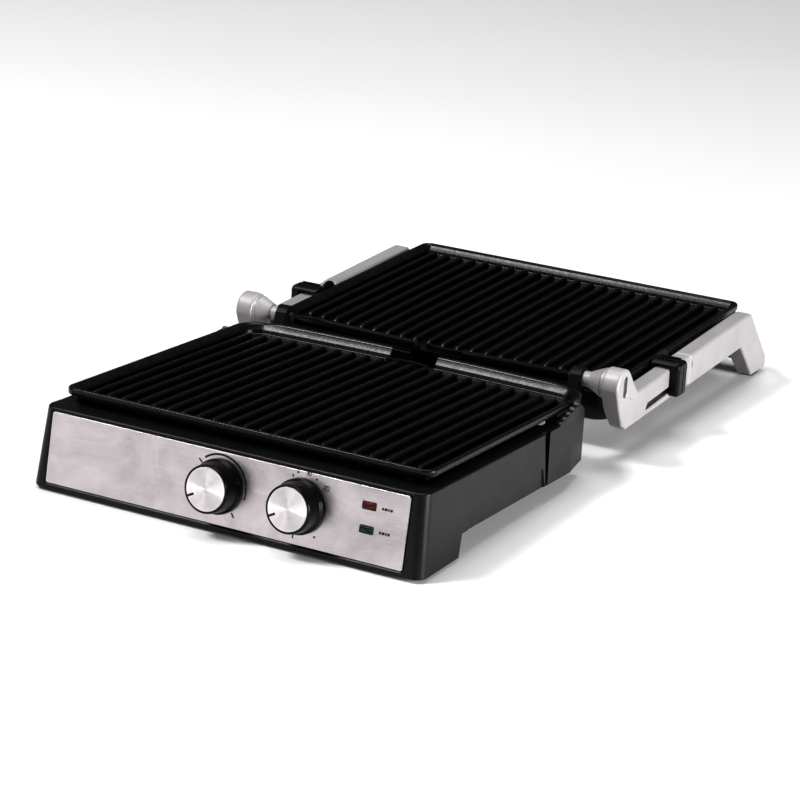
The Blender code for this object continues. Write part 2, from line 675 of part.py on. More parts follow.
def arm(side, sign):
    """Die-cast arm: outer bar with a long groove, cone and neck turned on the hinge line."""
    low, high = sorted((sign * ARM_IN, sign * ARM_OUT))
    body = finish(prism(arm_outline(), "X", low, high), "arm_" + side, silver(), smooth=25)
    edge = body.modifiers.new("edges", "BEVEL")
    edge.width = 1.3 * MM
    edge.segments = 2
    edge.limit_method = "ANGLE"
    edge.angle_limit = math.radians(50)
    cone_profile = [(NECK_R, NECK_END), (NECK_R, CONE_END), (9.6, ARM_IN - 7.0)]
    cone_profile += [(KNUCKLE_R, ARM_IN - 3.6), (KNUCKLE_R, ARM_IN + 3.0)]
    cone = turned(cone_profile, 28)
    bmesh.ops.rotate(cone, cent=(0, 0, 0), matrix=Matrix.Rotation(math.radians(90), 3, "Y"), verts=cone.verts)
    bmesh.ops.scale(cone, vec=(sign, 1, 1), verts=cone.verts)
    bmesh.ops.translate(cone, vec=(0, HINGE_Y, HINGE_Z), verts=cone.verts)
    join(body, finish(cone, "add_cone_" + side, silver()))
    bore = prism(arc((HINGE_Y, HINGE_Z), PIN_R + 0.1, 0, 345, 23), "X", *span(sign, 120, ARM_OUT - 6.2))
    cut(body, finish(bore, "cut_arm_bore_" + side, silver()))
    pivot = prism(arc((PIVOT_Y, PIVOT_Z), 3.6, 0, 337.5, 15), "X", *span(sign, 130, 170))
    cut(body, finish(pivot, "cut_pivot_bore_" + side, silver()))
    slot = [(49.5, 30.4), (106.0, 33.4), (106.0, 38.2), (53.0, 35.4)]
    groove = prism(slot, "X", *span(sign, ARM_OUT - 3.2, ARM_OUT + 4))
    cut(body, finish(groove, "cut_bar_groove_" + side, silver()))
    rings = []
    for out, z in ((150.8, 22.0), (145.0, 45.0)):
        rings.append([(sign * out, -8, z), (sign * out, 30, z), (sign * 120, 30, z), (sign * 120, -8, z)])
    draft = loft(rings)
    cut(body, finish(draft, "cut_leg_draft_" + side, silver()))
    if side == "right":
        seat = prism(oval((HINGE_Y + 1.5, HINGE_Z - 1.0), 3.3, 4.5), "X", ARM_OUT - 5.0, ARM_OUT + 3)
        cut(body, finish(seat, "cut_release_seat", silver()))
    return body


def oval(centre, half_width, radius_offset):
    """Upright slot outline: half circles above and below."""
    top = arc((centre[0], centre[1] + radius_offset), half_width, 0, 180, 6)
    low = arc((centre[0], centre[1] - radius_offset), half_width, 180, 360, 6)
    return top + low


def release_button():
    """Hinge release, sunk in the right knuckle's face."""
    shape = prism(oval((HINGE_Y + 1.5, HINGE_Z - 1.0), 2.9, 4.4), "X", ARM_OUT - 2.7, ARM_OUT - 0.9)
    return finish(shape, "hinge_release_button", material("button_grey", (0.08, 0.08, 0.085), 0.4))


def handle_grip():
    """Cross tube between the two foot legs."""
    profile = arc((GRIP_Y, GRIP_Z), GRIP_R, 0, 340, 17)
    return finish(prism(profile, "X", -ARM_IN + GAP, ARM_IN - GAP), "handle_grip", silver())


def leg_pad(side, sign):
    """Rubber pad under each foot leg: the handle stands on it when the press lies open."""
    low, high = sorted((sign * (ARM_IN + 1.6), sign * (ARM_OUT - 1.6)))
    return finish(block((low, 268.0, 0.0), (high, 282.0, 1.9)), "leg_pad_" + side, rubber())


# ---- upper half ---------------------------------------------------------------------------------


def upper_matrix_place():
    """Place and turn of anything modelled in the upper plate's frame."""
    return UPPER_ORIGIN, (UPPER_TILT, 0, 180)


def upper_housing():
    """Shell under the upper plate when open: the lid when shut."""
    place, turn = upper_matrix_place()
    top = RIM_TOP - FLANGE_DROP - GAP
    outer = loft(
        [
            ring_at(rounded_box(HOUSING_HALF_X - 11, 4, 222, 14, 12, 4), -31.0),
            ring_at(rounded_box(HOUSING_HALF_X - 4, -3, 231, 14, 12, 4), -27.0),
            ring_at(rounded_box(HOUSING_HALF_X - 0.6, -10, 234.5, 14, 12, 4), -17.0),
            ring_at(rounded_box(HOUSING_HALF_X - 0.4, -13.4, 235.0, 10, 12, 4), top),
        ]
    )
    shell = finish(outer, "upper_housing", black_plastic(), place, turn)
    inner = loft(
        [
            ring_at(rounded_box(HOUSING_HALF_X - 13, 6, 220, 12, 10, 3), -28.4),
            ring_at(rounded_box(HOUSING_HALF_X - 6.6, -0.4, 227.4, 12, 10, 3), -24.5),
            ring_at(rounded_box(HOUSING_HALF_X - 3.4, -7.2, 230.6, 5, 10, 3), -16.5),
            ring_at(rounded_box(HOUSING_HALF_X - 3.0, -10.8, 232.0, 5, 10, 3), top + 4),
        ]
    )
    cut(shell, finish(inner, "cut_housing_inner", black_plastic(), place, turn))
    drain = prism([(-22, 222), (22, 222), (22, 240), (-22, 240)], "Z", -20, 6)
    cut(shell, finish(drain, "cut_housing_drain", black_plastic(), place, turn))
    return shell


def lid_recess_cover():
    """Flush cover plate screwed on the housing's outer face."""
    place, turn = upper_matrix_place()
    shape = loft(
        [
            ring_at(rounded_box(112, 22, 204, 10, 10, 4), -33.0),
            ring_at(rounded_box(114, 20, 206, 10, 10, 4), -31.3),
        ]
    )
    return finish(shape, "lid_cover", steel(), place, turn)


def bracket(side, sign):
    """Saddle over the bar: outer and inner cheek, deck with two ridges, and an arched boss."""
    front, back = BRACKET_Y, BRACKET_Y + BRACKET_LENGTH
    low_z, top_z = 30.0, 56.6
    outer = [(front + 1.5, low_z), (back - 1.5, low_z), (back, low_z + 2), (back, top_z - 3)]
    outer += [(back - 3, top_z), (front + 3, top_z), (front, top_z - 3), (front, low_z + 2)]
    low, high = span(sign, HOUSING_HALF_X + 0.3, BRACKET_OUT)
    body = finish(prism(outer, "X", low, high), "pivot_bracket_" + side, black_plastic())
    channel_low, channel_high = span(sign, ARM_IN - 0.8, ARM_OUT + 0.8)
    channel = block((channel_low, front - 4, low_z - 6), (channel_high, back + 4, 53.6))
    cut(body, finish(channel, "cut_bar_channel_" + side, black_plastic()))
    arch = arc((110.0, 48.0), 11.5, 0, 337.5, 15)
    boss = prism(arch, "X", *span(sign, HOUSING_HALF_X + 0.3, ARM_IN - 0.8))
    join(body, finish(boss, "add_arch_" + side, black_plastic()))
    for i, y in enumerate((front + 4.2, front + 11.6)):
        ridge_low, ridge_high = span(sign, 146.5, 162.5)
        ridge = block((ridge_low, y, top_z - 1), (ridge_high, y + 1.6, top_z + 1.2))
        join(body, finish(ridge, f"add_ridge_{side}_{i}", black_plastic()))
    rim_room = block((-PLATE_HALF_X - 1.2, front - 5, 46.5), (PLATE_HALF_X + 1.2, back + 20, 70))
    cut(body, finish(rim_room, "cut_rim_room_" + side, black_plastic()))
    bore = prism(arc((PIVOT_Y, PIVOT_Z), 2.9, 0, 337.5, 15), "X", *span(sign, 139, BRACKET_OUT - 2.0))
    cut(body, finish(bore, "cut_bracket_bore_" + side, black_plastic()))
    return body


def pivot_pin(side, sign):
    low, high = sorted((sign * (HOUSING_HALF_X + 0.4), sign * (BRACKET_OUT - 2.4)))
    return rod("pivot_pin_" + side, steel(), 2.6, low, high, (PIVOT_Y, PIVOT_Z), "X", 16)


def cord_inlet():
    """Bush in the rear wall where the lead enters."""
    centre = (-92.0, 26.0)
    wide = prism(arc(centre, 10.5, 0, 345, 23), "Y", BASE_BACK_Y + 0.3, BASE_BACK_Y + 4.0)
    bush = finish(wide, "cord_inlet_bush", rubber())
    neck = prism(arc(centre, 7.9, 0, 345, 23), "Y", BASE_BACK_Y - 4.0, BASE_BACK_Y + 1.0)
    join(bush, finish(neck, "add_bush_neck", rubber()))
    hole = prism(arc(centre, 4.0, 0, 345, 23), "Y", BASE_BACK_Y - 8.0, BASE_BACK_Y + 8.0)
    cut(bush, finish(hole, "cut_bush_hole", rubber()))
    return bush


def terminal_block():
    return finish(block((-60, -60, 22.6), (-24, -46, 32)), "terminal_block", ivory_plastic())


def screw(name, place, turn, shank):
    """Pan-head screw with a cross recess; local +Z runs up the shank from the head's seat."""
    profile = [(2.4, -1.7), (3.2, -0.9), (3.2, 0.0), (1.6, 0.0), (1.6, shank)]
    body = finish(turned(profile, 12), name, steel(), place, turn)
    for half_x, half_y, deep in ((1.9, 0.35, -0.9), (0.35, 1.9, -0.95)):
        arm_of_cross = block((-half_x, -half_y, -3.0), (half_x, half_y, deep))
        cut(body, finish(arm_of_cross, f"cut_recess_{half_x}_{name}", steel(), place, turn))
    return body


def cover_screws(cover):
    """Four screws up through bosses of the bottom cover."""
    spots = {"front_left": (-70, -205), "front_right": (70, -205)}
    spots.update({"rear_left": (-84, -70), "rear_right": (84, -70)})
    for name, (x, y) in spots.items():
        seat = skirt_z(y) + 3.0
        boss = prism(arc((x, y), 5.6, 0, 337.5, 15), "Z", seat - 2.6, seat + 3.4)
        join(cover, finish(boss, "add_boss_" + name, black_plastic()))
        sink = prism(arc((x, y), 3.7, 0, 337.5, 15), "Z", seat - 8, seat)
        through = prism(arc((x, y), 1.9, 0, 337.5, 15), "Z", seat - 1, seat + 8)
        cut(cover, finish(sink, "cut_sink_" + name, black_plastic()))
        cut(cover, finish(through, "cut_through_" + name, black_plastic()))
        screw("bottom_screw_" + name, (x, y, seat - 0.3), (0, 0, 0), 6.0)


def lid_screws(shell, cover):
    """Four screws holding the outer cover on the upper housing."""
    place, turn = upper_matrix_place()
    spots = {"near_left": (100, 192), "near_right": (-100, 192)}
    spots.update({"far_left": (100, 34), "far_right": (-100, 34)})
    tilt = Matrix.Rotation(math.radians(UPPER_TILT), 3, "X")
    turned_frame = Matrix.Rotation(math.radians(180), 3, "Z") @ tilt
    for name, (x, y) in spots.items():
        for owner in (shell, cover):
            hole = prism(arc((x, y), 1.9, 0, 337.5, 15), "Z", -40, -20)
            cut(owner, finish(hole, "cut_" + owner.name + name, steel(), place, turn))
        spot = Vector(place) + turned_frame @ Vector((x, y, -33.3))
        screw("lid_screw_" + name, spot, turn, 6.5)


def lamp_holder():
    """Carrier board behind both lamps."""
    low, high = LAMP_Z["green"] - 8, LAMP_Z["red"] + 7
    near, far = panel_y(low) + 7.6, panel_y(high) + 7.6
    rings = []
    for depth in (0.0, 2.0):
        left, right = LAMP_X - 9, LAMP_X + 9
        ring = [(left, near + depth, low), (right, near + depth, low)]
        rings.append(ring + [(right, far + depth, high), (left, far + depth, high)])
    return finish(loft(rings), "lamp_holder", ivory_plastic())


def build():
    clear_scene()
    upper_place, upper_turn = upper_matrix_place()
    lower_turn = (LOWER_TILT, 0, 0)
    grill_plate("lower_grill_plate", LOWER_ORIGIN, lower_turn)
    grill_plate("upper_grill_plate", upper_place, upper_turn)
    heater("lower_heater", LOWER_ORIGIN, lower_turn, 12.2)
    heater("upper_heater", upper_place, upper_turn, 12.2)
    reflector("lower_reflector", LOWER_ORIGIN, lower_turn, 12.2)
    reflector("upper_reflector", upper_place, upper_turn, 12.2)
    base_casing()
    front_panel()
    panel_backing()
    lamp("red", (0.55, 0.03, 0.02))
    lamp("green", (0.02, 0.25, 0.1))
    for side in ("left", "right"):
        knob(side)
        knob_cap(side)
    control_body("thermostat", "left", 30, 24, heater_metal())
    control_body("timer", "right", 34, 30, ivory_plastic())
    cover_screws(bottom_cover())
    drip_tray()
    cord_inlet()
    terminal_block()
    lid_screws(upper_housing(), lid_recess_cover())
    lamp_holder()
    for side, sign in (("left", -1), ("right", 1)):
        hinge_lug(side, sign)
        hinge_pin(side, sign)
        arm(side, sign)
        bracket(side, sign)
        pivot_pin(side, sign)
        leg_pad(side, sign)
        foot_pad("front_foot_pad_" + side, sign * 136.0, -250.0, 8.0, 0.0, 1.7)
        foot_pad("rear_foot_pad_" + side, sign * 108.0, -58.0, 7.5, 0.0, 1.9)
    release_button()
    handle_grip()


build()
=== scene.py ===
"""Looks of the panini press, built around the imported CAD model.

Lengths in the shape code are millimetres in the CAD's own frame and become metres as meshes are made.
"""

import math

import bmesh
import bpy
from mathutils import Matrix, Vector


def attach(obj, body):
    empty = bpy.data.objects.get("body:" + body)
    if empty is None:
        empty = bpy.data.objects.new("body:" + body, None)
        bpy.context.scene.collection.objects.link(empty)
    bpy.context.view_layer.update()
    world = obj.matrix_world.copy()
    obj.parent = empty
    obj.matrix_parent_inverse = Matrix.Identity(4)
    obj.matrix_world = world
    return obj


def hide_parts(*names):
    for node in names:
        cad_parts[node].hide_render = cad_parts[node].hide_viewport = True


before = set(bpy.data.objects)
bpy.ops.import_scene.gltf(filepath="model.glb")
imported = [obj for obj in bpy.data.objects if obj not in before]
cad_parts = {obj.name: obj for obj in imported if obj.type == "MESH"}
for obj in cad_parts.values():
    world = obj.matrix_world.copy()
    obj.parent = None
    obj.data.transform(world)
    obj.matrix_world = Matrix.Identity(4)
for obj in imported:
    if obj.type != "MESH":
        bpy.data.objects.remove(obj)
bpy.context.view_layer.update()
scene = bpy.context.scene

MM = 0.001
WELD, SLIVER = 0.02, 0.01
NEARLY_STRAIGHT = math.radians(174)
SIDES = (("left", -1), ("right", 1))

# hinge, plates, base, panel and arms: the CAD's own dimensions
HINGE_Y, HINGE_Z = 8.5, 59.5
KNUCKLE_R, NECK_R = 11.0, 5.8
RIBS, RIB_PITCH, RIB_HEIGHT = 22, 12.0, 4.6
PLATE_HALF_X, PLATE_FRONT = 141.8, -13.0
PLATE_BACK_MID, PLATE_BACK_SIDE = 234.0, 228.5
RIB_END_MID, RIB_END_SIDE = 213.0, 204.0
RIM_TOP, RIM_BACK_TOP = 2.8, 4.2
PAN_BOTTOM = -7.4
WALL_HALF_X, WALL_FRONT, WALL_EASE = 122.0, 205.0, 6.0
CORNER_FRONT, CORNER_BACK, SPOUT_HALF = 8.0, 19.0, 19.0
LOWER_ORIGIN, LOWER_TILT = (0.0, -240.5, 64.4), -2.3
UPPER_ORIGIN, UPPER_TILT = (0.0, 257.5, 54.9), -1.0
BASE_HALF_TOP, BASE_HALF_LOW = 147.0, 150.8
FRONT_TOP_Y, FRONT_LOW_Y = -268.5, -277.5
DECK_Z, DECK_SLOPE, FOOT_Z = 57.3, -0.0400, 2.0
SKIRT_FRONT_Z, SKIRT_BACK_Z, BASE_BACK_Y = 17.0, 10.5, -25.5
TOWER_TOP_Z, STEPS, STEP_RUN, STEP_RISE = 58.2, 5, 7.4, 1.5
STEPS_FRONT = -72.0
TOWER_HALF, TAPER, TAPER_FRONT = 148.8, 4.6, -50.0
CASE_WALL, CASE_CORNER = 2.6, 8.0
BACK_CUT = BASE_BACK_Y - 8
PANEL_HALF_X, PANEL_LOW_Z, PANEL_HIGH_Z, PANEL_SHIFT = 138.0, 6.0, 54.5, -1.6
KNOB_X = {"left": -4.5, "right": 57.5}
KNOB_Z, KNOB_CAP_R = 31.5, 15.6
LAMP_X, LAMP_Z, LAMP_SIZE = 107.5, {"red": 42.5, "green": 27.0}, (9.4, 4.4)
ARM_OUT, ARM_IN, ARM_EDGE, REAR_PROUD = 159.0, 145.6, 1.9, 0.5
CONE_END, NECK_END = 133.0, 127.3
BRACKET_Y, BRACKET_LENGTH, BRACKET_OUT = 90.5, 17.0, 166.6
GRIP_Y, GRIP_Z = 280.2, 17.2
HOUSING_HALF_X = 141.6
BUTTON_SPOT, HEAD_PIVOT = (HINGE_Y + 1.5, HINGE_Z - 1.0), (99.0, 38.4)


# ---- plane outlines ----


def polar(centre, radius, angle):
    """Point at an angle in degrees about a centre."""
    turn = math.radians(angle)
    return (centre[0] + radius * math.cos(turn), centre[1] + radius * math.sin(turn))


def arc(centre, radius, start, end, steps):
    """Points on a circle, angles in degrees."""
    return [polar(centre, radius, start + (end - start) * i / steps) for i in range(steps + 1)]


def circle(centre, radius, count):
    """Closed ring of `count` points."""
    return arc(centre, radius, 0, 360 - 360 / count, count - 1)


def fillet(points, radius, steps=4):
    """Rounds the corners of a polygon; a point's third number is its own radius."""
    found = []
    for i, spot in enumerate(points):
        corner = Vector(spot[:2])
        before = Vector(points[i - 1][:2]) - corner
        after = Vector(points[(i + 1) % len(points)][:2]) - corner
        size = spot[2] if len(spot) > 2 else radius
        opening = before.angle(after)
        if size <= 0 or opening > NEARLY_STRAIGHT:
            found.append(tuple(spot[:2]))
            continue
        reach = min(size / math.tan(opening / 2), 0.48 * before.length, 0.48 * after.length)
        size = reach * math.tan(opening / 2)
        before.normalize()
        after.normalize()
        middle = corner + (before + after).normalized() * size / math.sin(opening / 2)
        first, last = corner + before * reach - middle, corner + after * reach - middle
        start = math.atan2(first.y, first.x)
        turn = (math.atan2(last.y, last.x) - start + math.pi) % (2 * math.pi) - math.pi
        found += arc(middle, size, math.degrees(start), math.degrees(start + turn), steps)
    return found


def inset(points, distance):
    """Polygon moved inwards by a distance."""
    area = sum(ax * by - bx * ay for (ax, ay), (bx, by) in zip(points, points[1:] + points[:1]))
    turn = 1 if area > 0 else -1
    found = []
    for i, (x, y) in enumerate(points):
        normals = []
        for a, b in ((points[i - 1], (x, y)), ((x, y), points[(i + 1) % len(points)])):
            along = Vector((b[0] - a[0], b[1] - a[1]))
            if along.length > 1e-6:
                along.normalize()
                normals.append(Vector((-along.y, along.x)) * turn)
        mean = sum(normals, Vector((0, 0)))
        if mean.length < 1e-6:
            found.append((x, y))
            continue
        mean.normalize()
        scale = distance / max(mean.dot(normals[0]), 0.4)
        found.append((x + mean.x * scale, y + mean.y * scale))
    return found


def rectangle(left, low, right, high):
    return [(left, low), (right, low), (right, high), (left, high)]


def both_sides(right, middle=()):
    """Right half of an outline, points in the middle, then the mirror image of the right half."""
    return [*right, *middle, *((-x, *rest) for x, *rest in right[::-1])]


def rounded_box(half_x, front, back, radius_front, radius_back, steps):
    """Plan outline, counter-clockwise from the front right."""
    right = arc((half_x - radius_front, front + radius_front), radius_front, -90, 0, steps)
    return both_sides(right + arc((half_x - radius_back, back - radius_back), radius_back, 0, 90, steps))


def oval(centre, half_width, offset):
    """Two half circles, each `offset` away from the centre."""
    top = arc((centre[0], centre[1] + offset), half_width, 0, 180, 8)
    return top + arc((centre[0], centre[1] - offset), half_width, 180, 360, 8)


# ---- solids ----


def bridge(made, loops):
    """Quads between each loop of vertices and the next."""
    for lower, upper in zip(loops, loops[1:]):
        for i in range(len(lower)):
            j = (i + 1) % len(lower)
            made.faces.new((lower[i], lower[j], upper[j], upper[i]))


def loft(rings, into=None):
    """Closed solid through rings of the same number of points."""
    made = into or bmesh.new()
    verts = [[made.verts.new(p) for p in ring] for ring in rings]
    made.faces.new(verts[0][::-1])
    made.faces.new(verts[-1])
    bridge(made, verts)
    return made


def placed(axis, u, v, w):
    """Point of an outline (u, v) at level w along an axis."""
    return {"X": (w, u, v), "Y": (u, w, v), "Z": (u, v, w)}[axis]


def levels(axis, stations):
    """Solid through (outline, level) stations along an axis."""
    return loft([[placed(axis, u, v, w) for u, v in outline] for outline, w in stations])


def pillow(outline, axis, low, high, edge, steps):
    """Prism with rounded edges at both ends."""
    stations = []
    for k in range(steps + 1):
        angle = math.pi / 2 * k / steps
        stations.append((inset(outline, edge * (1 - math.sin(angle))), low + edge * (1 - math.cos(angle))))
    for outline_k, level in stations[::-1]:
        stations.append((outline_k, low + high - level))
    return levels(axis, stations)


def prism(outline, axis, low, high):
    return levels(axis, [(outline, low), (outline, high)])


def flared(outline, deep, face, flare):
    """Cutter along X that widens by `flare` as it leaves the surface at x = `face`."""
    wide = inset(outline, -flare)
    return levels("X", [(outline, deep), (outline, face - flare), (wide, face), (wide, face + 4)])


def turned(profile, steps):
    """Solid of revolution about Z from (radius, height) points."""
    return levels("Z", [(circle((0, 0), radius, steps), height) for radius, height in profile])


def laid_along_x(made, y, z):
    """Turned solid with its axis moved from Z to the line along X at (y, z)."""
    bmesh.ops.rotate(made, cent=(0, 0, 0), matrix=Matrix.Rotation(math.radians(90), 3, "Y"), verts=made.verts)
    bmesh.ops.translate(made, vec=(0, y, z), verts=made.verts)
    return made


def block(low, high):
    return prism(rectangle(*low[:2], *high[:2]), "Z", low[2], high[2])


def soft_block(low, high, edge, radius):
    """Block with every edge rounded."""
    return pillow(fillet(rectangle(*low[:2], *high[:2]), radius, 3), "Z", low[2], high[2], edge, 2)


def mirrored(made, sign):
    """The same solid for the right side (sign 1), its mirror image for the left (sign -1)."""
    if sign < 0:
        bmesh.ops.scale(made, vec=(-1, 1, 1), verts=made.verts)
    return made


def frame_matrix(place, turn=(0, 0, 0)):
    """Placement in metres from a place in mm and turns in degrees about X, Y and Z."""
    rotation = Matrix.Identity(4)
    for axis, angle in zip("XYZ", turn):
        rotation = Matrix.Rotation(math.radians(angle), 4, axis) @ rotation
    return Matrix.Translation(Vector(place) * MM) @ rotation


LOWER_FRAME = frame_matrix(LOWER_ORIGIN, (LOWER_TILT, 0, 0))
UPPER_FRAME = frame_matrix(UPPER_ORIGIN, (UPPER_TILT, 0, 180))


def in_scene(name, data):
    obj = bpy.data.objects.new(name, data)
    scene.collection.objects.link(obj)
    return obj


def raw(made, name, matrix=None):
    """bmesh in mm -> plain object in metres."""
    bmesh.ops.recalc_face_normals(made, faces=made.faces)
    bmesh.ops.scale(made, vec=(MM, MM, MM), verts=made.verts)
    mesh = bpy.data.meshes.new(name)
    made.to_mesh(mesh)
    made.free()
    obj = in_scene(name, mesh)
    if matrix is not None:
        obj.matrix_world = matrix
    return obj


def cut(made, matrix=None):
    return "DIFFERENCE", raw(made, "cutter", matrix)


def add(made, matrix=None):
    return "UNION", raw(made, "addition", matrix)


def carve(obj, changes):
    """Applies what `cut` and `add` return, in their order, and removes the tools."""
    for operation, other in changes:
        change = obj.modifiers.new("change", "BOOLEAN")
        change.operation = operation
        change.solver = "EXACT"
        change.object = other
    bpy.context.view_layer.update()
    graph = bpy.context.evaluated_depsgraph_get()
    result = bpy.data.meshes.new_from_object(obj.evaluated_get(graph))
    obj.modifiers.clear()
    obj.data = result
    for _, other in changes:
        bpy.data.objects.remove(other)
    return obj


def tidy_mesh(obj, smooth):
    """Welds slivers left by the cuts, then shades with sharp creases and area-weighted normals."""
    made = bmesh.new()
    made.from_mesh(obj.data)
    bmesh.ops.remove_doubles(made, verts=made.verts, dist=WELD * MM)
    bmesh.ops.dissolve_degenerate(made, edges=made.edges, dist=SLIVER * MM)
    made.to_mesh(obj.data)
    made.free()
    obj.data.shade_smooth()
    obj.data.set_sharp_from_angle(angle=math.radians(smooth))
    weighted = obj.modifiers.new("weighted normals", "WEIGHTED_NORMAL")
    weighted.keep_sharp = True
    weighted.weight = 60


def piece(obj, body, mat, nodes=(), smooth=34.0):
    """Registers a finished visual piece."""
    tidy_mesh(obj, smooth)
    obj.data.materials.clear()
    obj.data.materials.append(mat)
    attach(obj, body)
    if nodes:
        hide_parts(*nodes)


# ---- materials ----


class Graph:
    """Small helper over a material's node tree."""

    def __init__(self, name):
        self.mat = bpy.data.materials.new(name)
        self.mat.use_nodes = True
        self.tree = self.mat.node_tree
        self.coords = self.node("ShaderNodeTexCoord", {}).outputs["Object"]

    def fill(self, made, inputs):
        """Gives each socket a plain value or another node's output."""
        for key, value in inputs.items():
            if isinstance(value, bpy.types.NodeSocket):
                self.tree.links.new(value, made.inputs[key])
            else:
                made.inputs[key].default_value = value

    def node(self, kind, inputs, **settings):
        made = self.tree.nodes.new(kind)
        for key, value in settings.items():
            setattr(made, key, value)
        self.fill(made, inputs)
        return made

    def stretch(self, scale, turn=(0, 0, 0)):
        """Coordinates scaled per axis after a turn in degrees."""
        inputs = {"Vector": self.coords, "Scale": scale, "Rotation": [math.radians(a) for a in turn]}
        return self.node("ShaderNodeMapping", inputs).outputs["Vector"]

    def noise(self, scale, detail=3.0, vector=None, roughness=0.55, distortion=0.0):
        inputs = {"Vector": vector or self.coords, "Scale": scale, "Detail": detail}
        inputs |= {"Roughness": roughness, "Distortion": distortion}
        return self.node("ShaderNodeTexNoise", inputs).outputs["Fac"]

    def cells(self, scale, vector=None):
        inputs = {"Vector": vector or self.coords, "Scale": scale}
        return self.node("ShaderNodeTexVoronoi", inputs).outputs["Distance"]

    def remap(self, source, to_low, to_high, low=0.3, high=0.7):
        """Takes low..high to to_low..to_high."""
        inputs = {"Value": source, "From Min": low, "From Max": high, "To Min": to_low, "To Max": to_high}
        return self.node("ShaderNodeMapRange", inputs).outputs["Result"]

    def maths(self, operation, a, b):
        return self.node("ShaderNodeMath", {0: a, 1: b}, operation=operation).outputs[0]

    def plus(self, a, b, share):
        """a + share * b"""
        return self.maths("ADD", a, self.maths("MULTIPLY", b, share))

    def blend(self, a, b, share):
        """share * a + (1 - share) * b"""
        return self.plus(self.maths("MULTIPLY", a, share), b, 1 - share)

    def axes(self):
        return self.node("ShaderNodeSeparateXYZ", {"Vector": self.coords}).outputs

    def ramp(self, source, stops):
        made = self.node("ShaderNodeValToRGB", {"Fac": source})
        while len(made.color_ramp.elements) < len(stops):
            made.color_ramp.elements.new(0.5)
        for element, (place, colour) in zip(made.color_ramp.elements, stops):
            element.position = place
            element.color = (*colour, 1.0)
        return made.outputs["Color"]

    def drift(self, source, dark, light, low=0.3, high=0.7):
        """Ramp between two colours."""
        return self.ramp(source, ((low, dark), (high, light)))

    def mix(self, share, a, b):
        a, b = ((*colour, 1.0) if isinstance(colour, tuple) else colour for colour in (a, b))
        return self.node("ShaderNodeMix", {0: share, 6: a, 7: b}, data_type="RGBA").outputs[2]

    def bump(self, source, distance, strength=1.0, under=None):
        """Relief of `distance` metres, over another relief if one is given."""
        inputs = {"Height": source, "Distance": distance, "Strength": strength}
        if under is not None:
            inputs["Normal"] = under
        return self.node("ShaderNodeBump", inputs).outputs["Normal"]

    def done(self, colour, roughness, normal=None, metallic=0.0, specular=0.5, **more):
        """Ends the graph in the Principled shader; `more` names other sockets, with _ for a space."""
        inputs = {"Base Color": colour, "Roughness": roughness, "Metallic": metallic}
        inputs |= {"Specular IOR Level": specular} | {key.replace("_", " "): more[key] for key in more}
        if normal is not None:
            inputs["Normal"] = normal
        self.fill(self.tree.nodes["Principled BSDF"], inputs)
        return self.mat


def grey(value, blue=None):
    """Neutral colour, or one with its own blue."""
    return (value, value, value if blue is None else blue)


def moulded(name, dark, light, rough, grain=1500.0, depth=0.00003, specular=0.5):
    """Spark-eroded moulded plastic: fine leathery grain, slow colour drift, handling marks."""
    g = Graph(name)
    drift = g.noise(22.0, 4.0)
    speck = g.remap(g.noise(grain * 0.7, 2.0), 0.0, 0.35, 0.35, 0.7)
    colour = g.mix(speck, g.drift(drift, dark, light), light)
    smudge = g.noise(55.0, 5.0, roughness=0.7, distortion=0.6)
    scuff = g.noise(9.0, 6.0, g.stretch((26.0, 2.0, 8.0), (0, 0, 24)), 0.75)
    rough_map = g.remap(g.plus(smudge, scuff, 0.5), rough - 0.06, rough + 0.09, 0.45, 1.0)
    pits = g.bump(g.cells(grain), depth)
    waves = g.bump(g.noise(38.0, 2.0), 0.00008, 0.35, pits)
    return g.done(colour, rough_map, waves, specular=specular)


def nonstick():
    """Sprayed and baked coating: speckle, orange peel, and ridge tops and rims painted lighter in patches as
    a painted highlight, with lower roughness there as polish.
    """
    g = Graph("nonstick_coating")
    drift = g.noise(17.0, 5.0, distortion=0.8)
    base = g.drift(drift, grey(0.0016, 0.0018), grey(0.0042, 0.0045), 0.3, 0.72)
    fleck = g.remap(g.cells(2300.0), 1.0, 0.0, 0.0, 0.16)
    sprinkled = g.maths("MULTIPLY", fleck, g.remap(g.noise(700.0, 1.0), 0.0, 1.0, 0.5, 0.62))
    # Painted highlight: everything from just under the ridge tops upwards is painted a lighter grey in
    # patches; the same mask lowers the roughness there as polish.
    top = g.remap(g.axes()[2], 0.0, 0.55, -0.0007, 0.0001)
    polish_and_top_highlight = g.maths("MULTIPLY", top, g.remap(g.noise(140.0, 4.0), 0.15, 1.0, 0.42, 0.68))
    colour = g.mix(polish_and_top_highlight, g.mix(sprinkled, base, grey(0.028, 0.03)), grey(0.011, 0.0115))
    streak = g.noise(30.0, 5.0, g.stretch((9.0, 0.8, 4.0)), 0.7)
    rough_map = g.maths("SUBTRACT", g.remap(streak, 0.22, 0.33, 0.3, 0.75), g.maths("MULTIPLY", polish_and_top_highlight, 0.06))
    peel = g.bump(g.noise(900.0, 2.0), 0.00004)
    pits = g.bump(g.cells(2300.0), 0.00002, 0.7, peel)
    return g.done(colour, rough_map, pits, specular=0.24)


LINES_ALONG_X, NO_LINES = (1.0, 60.0, 60.0), (1.0, 1.0, 1.0)


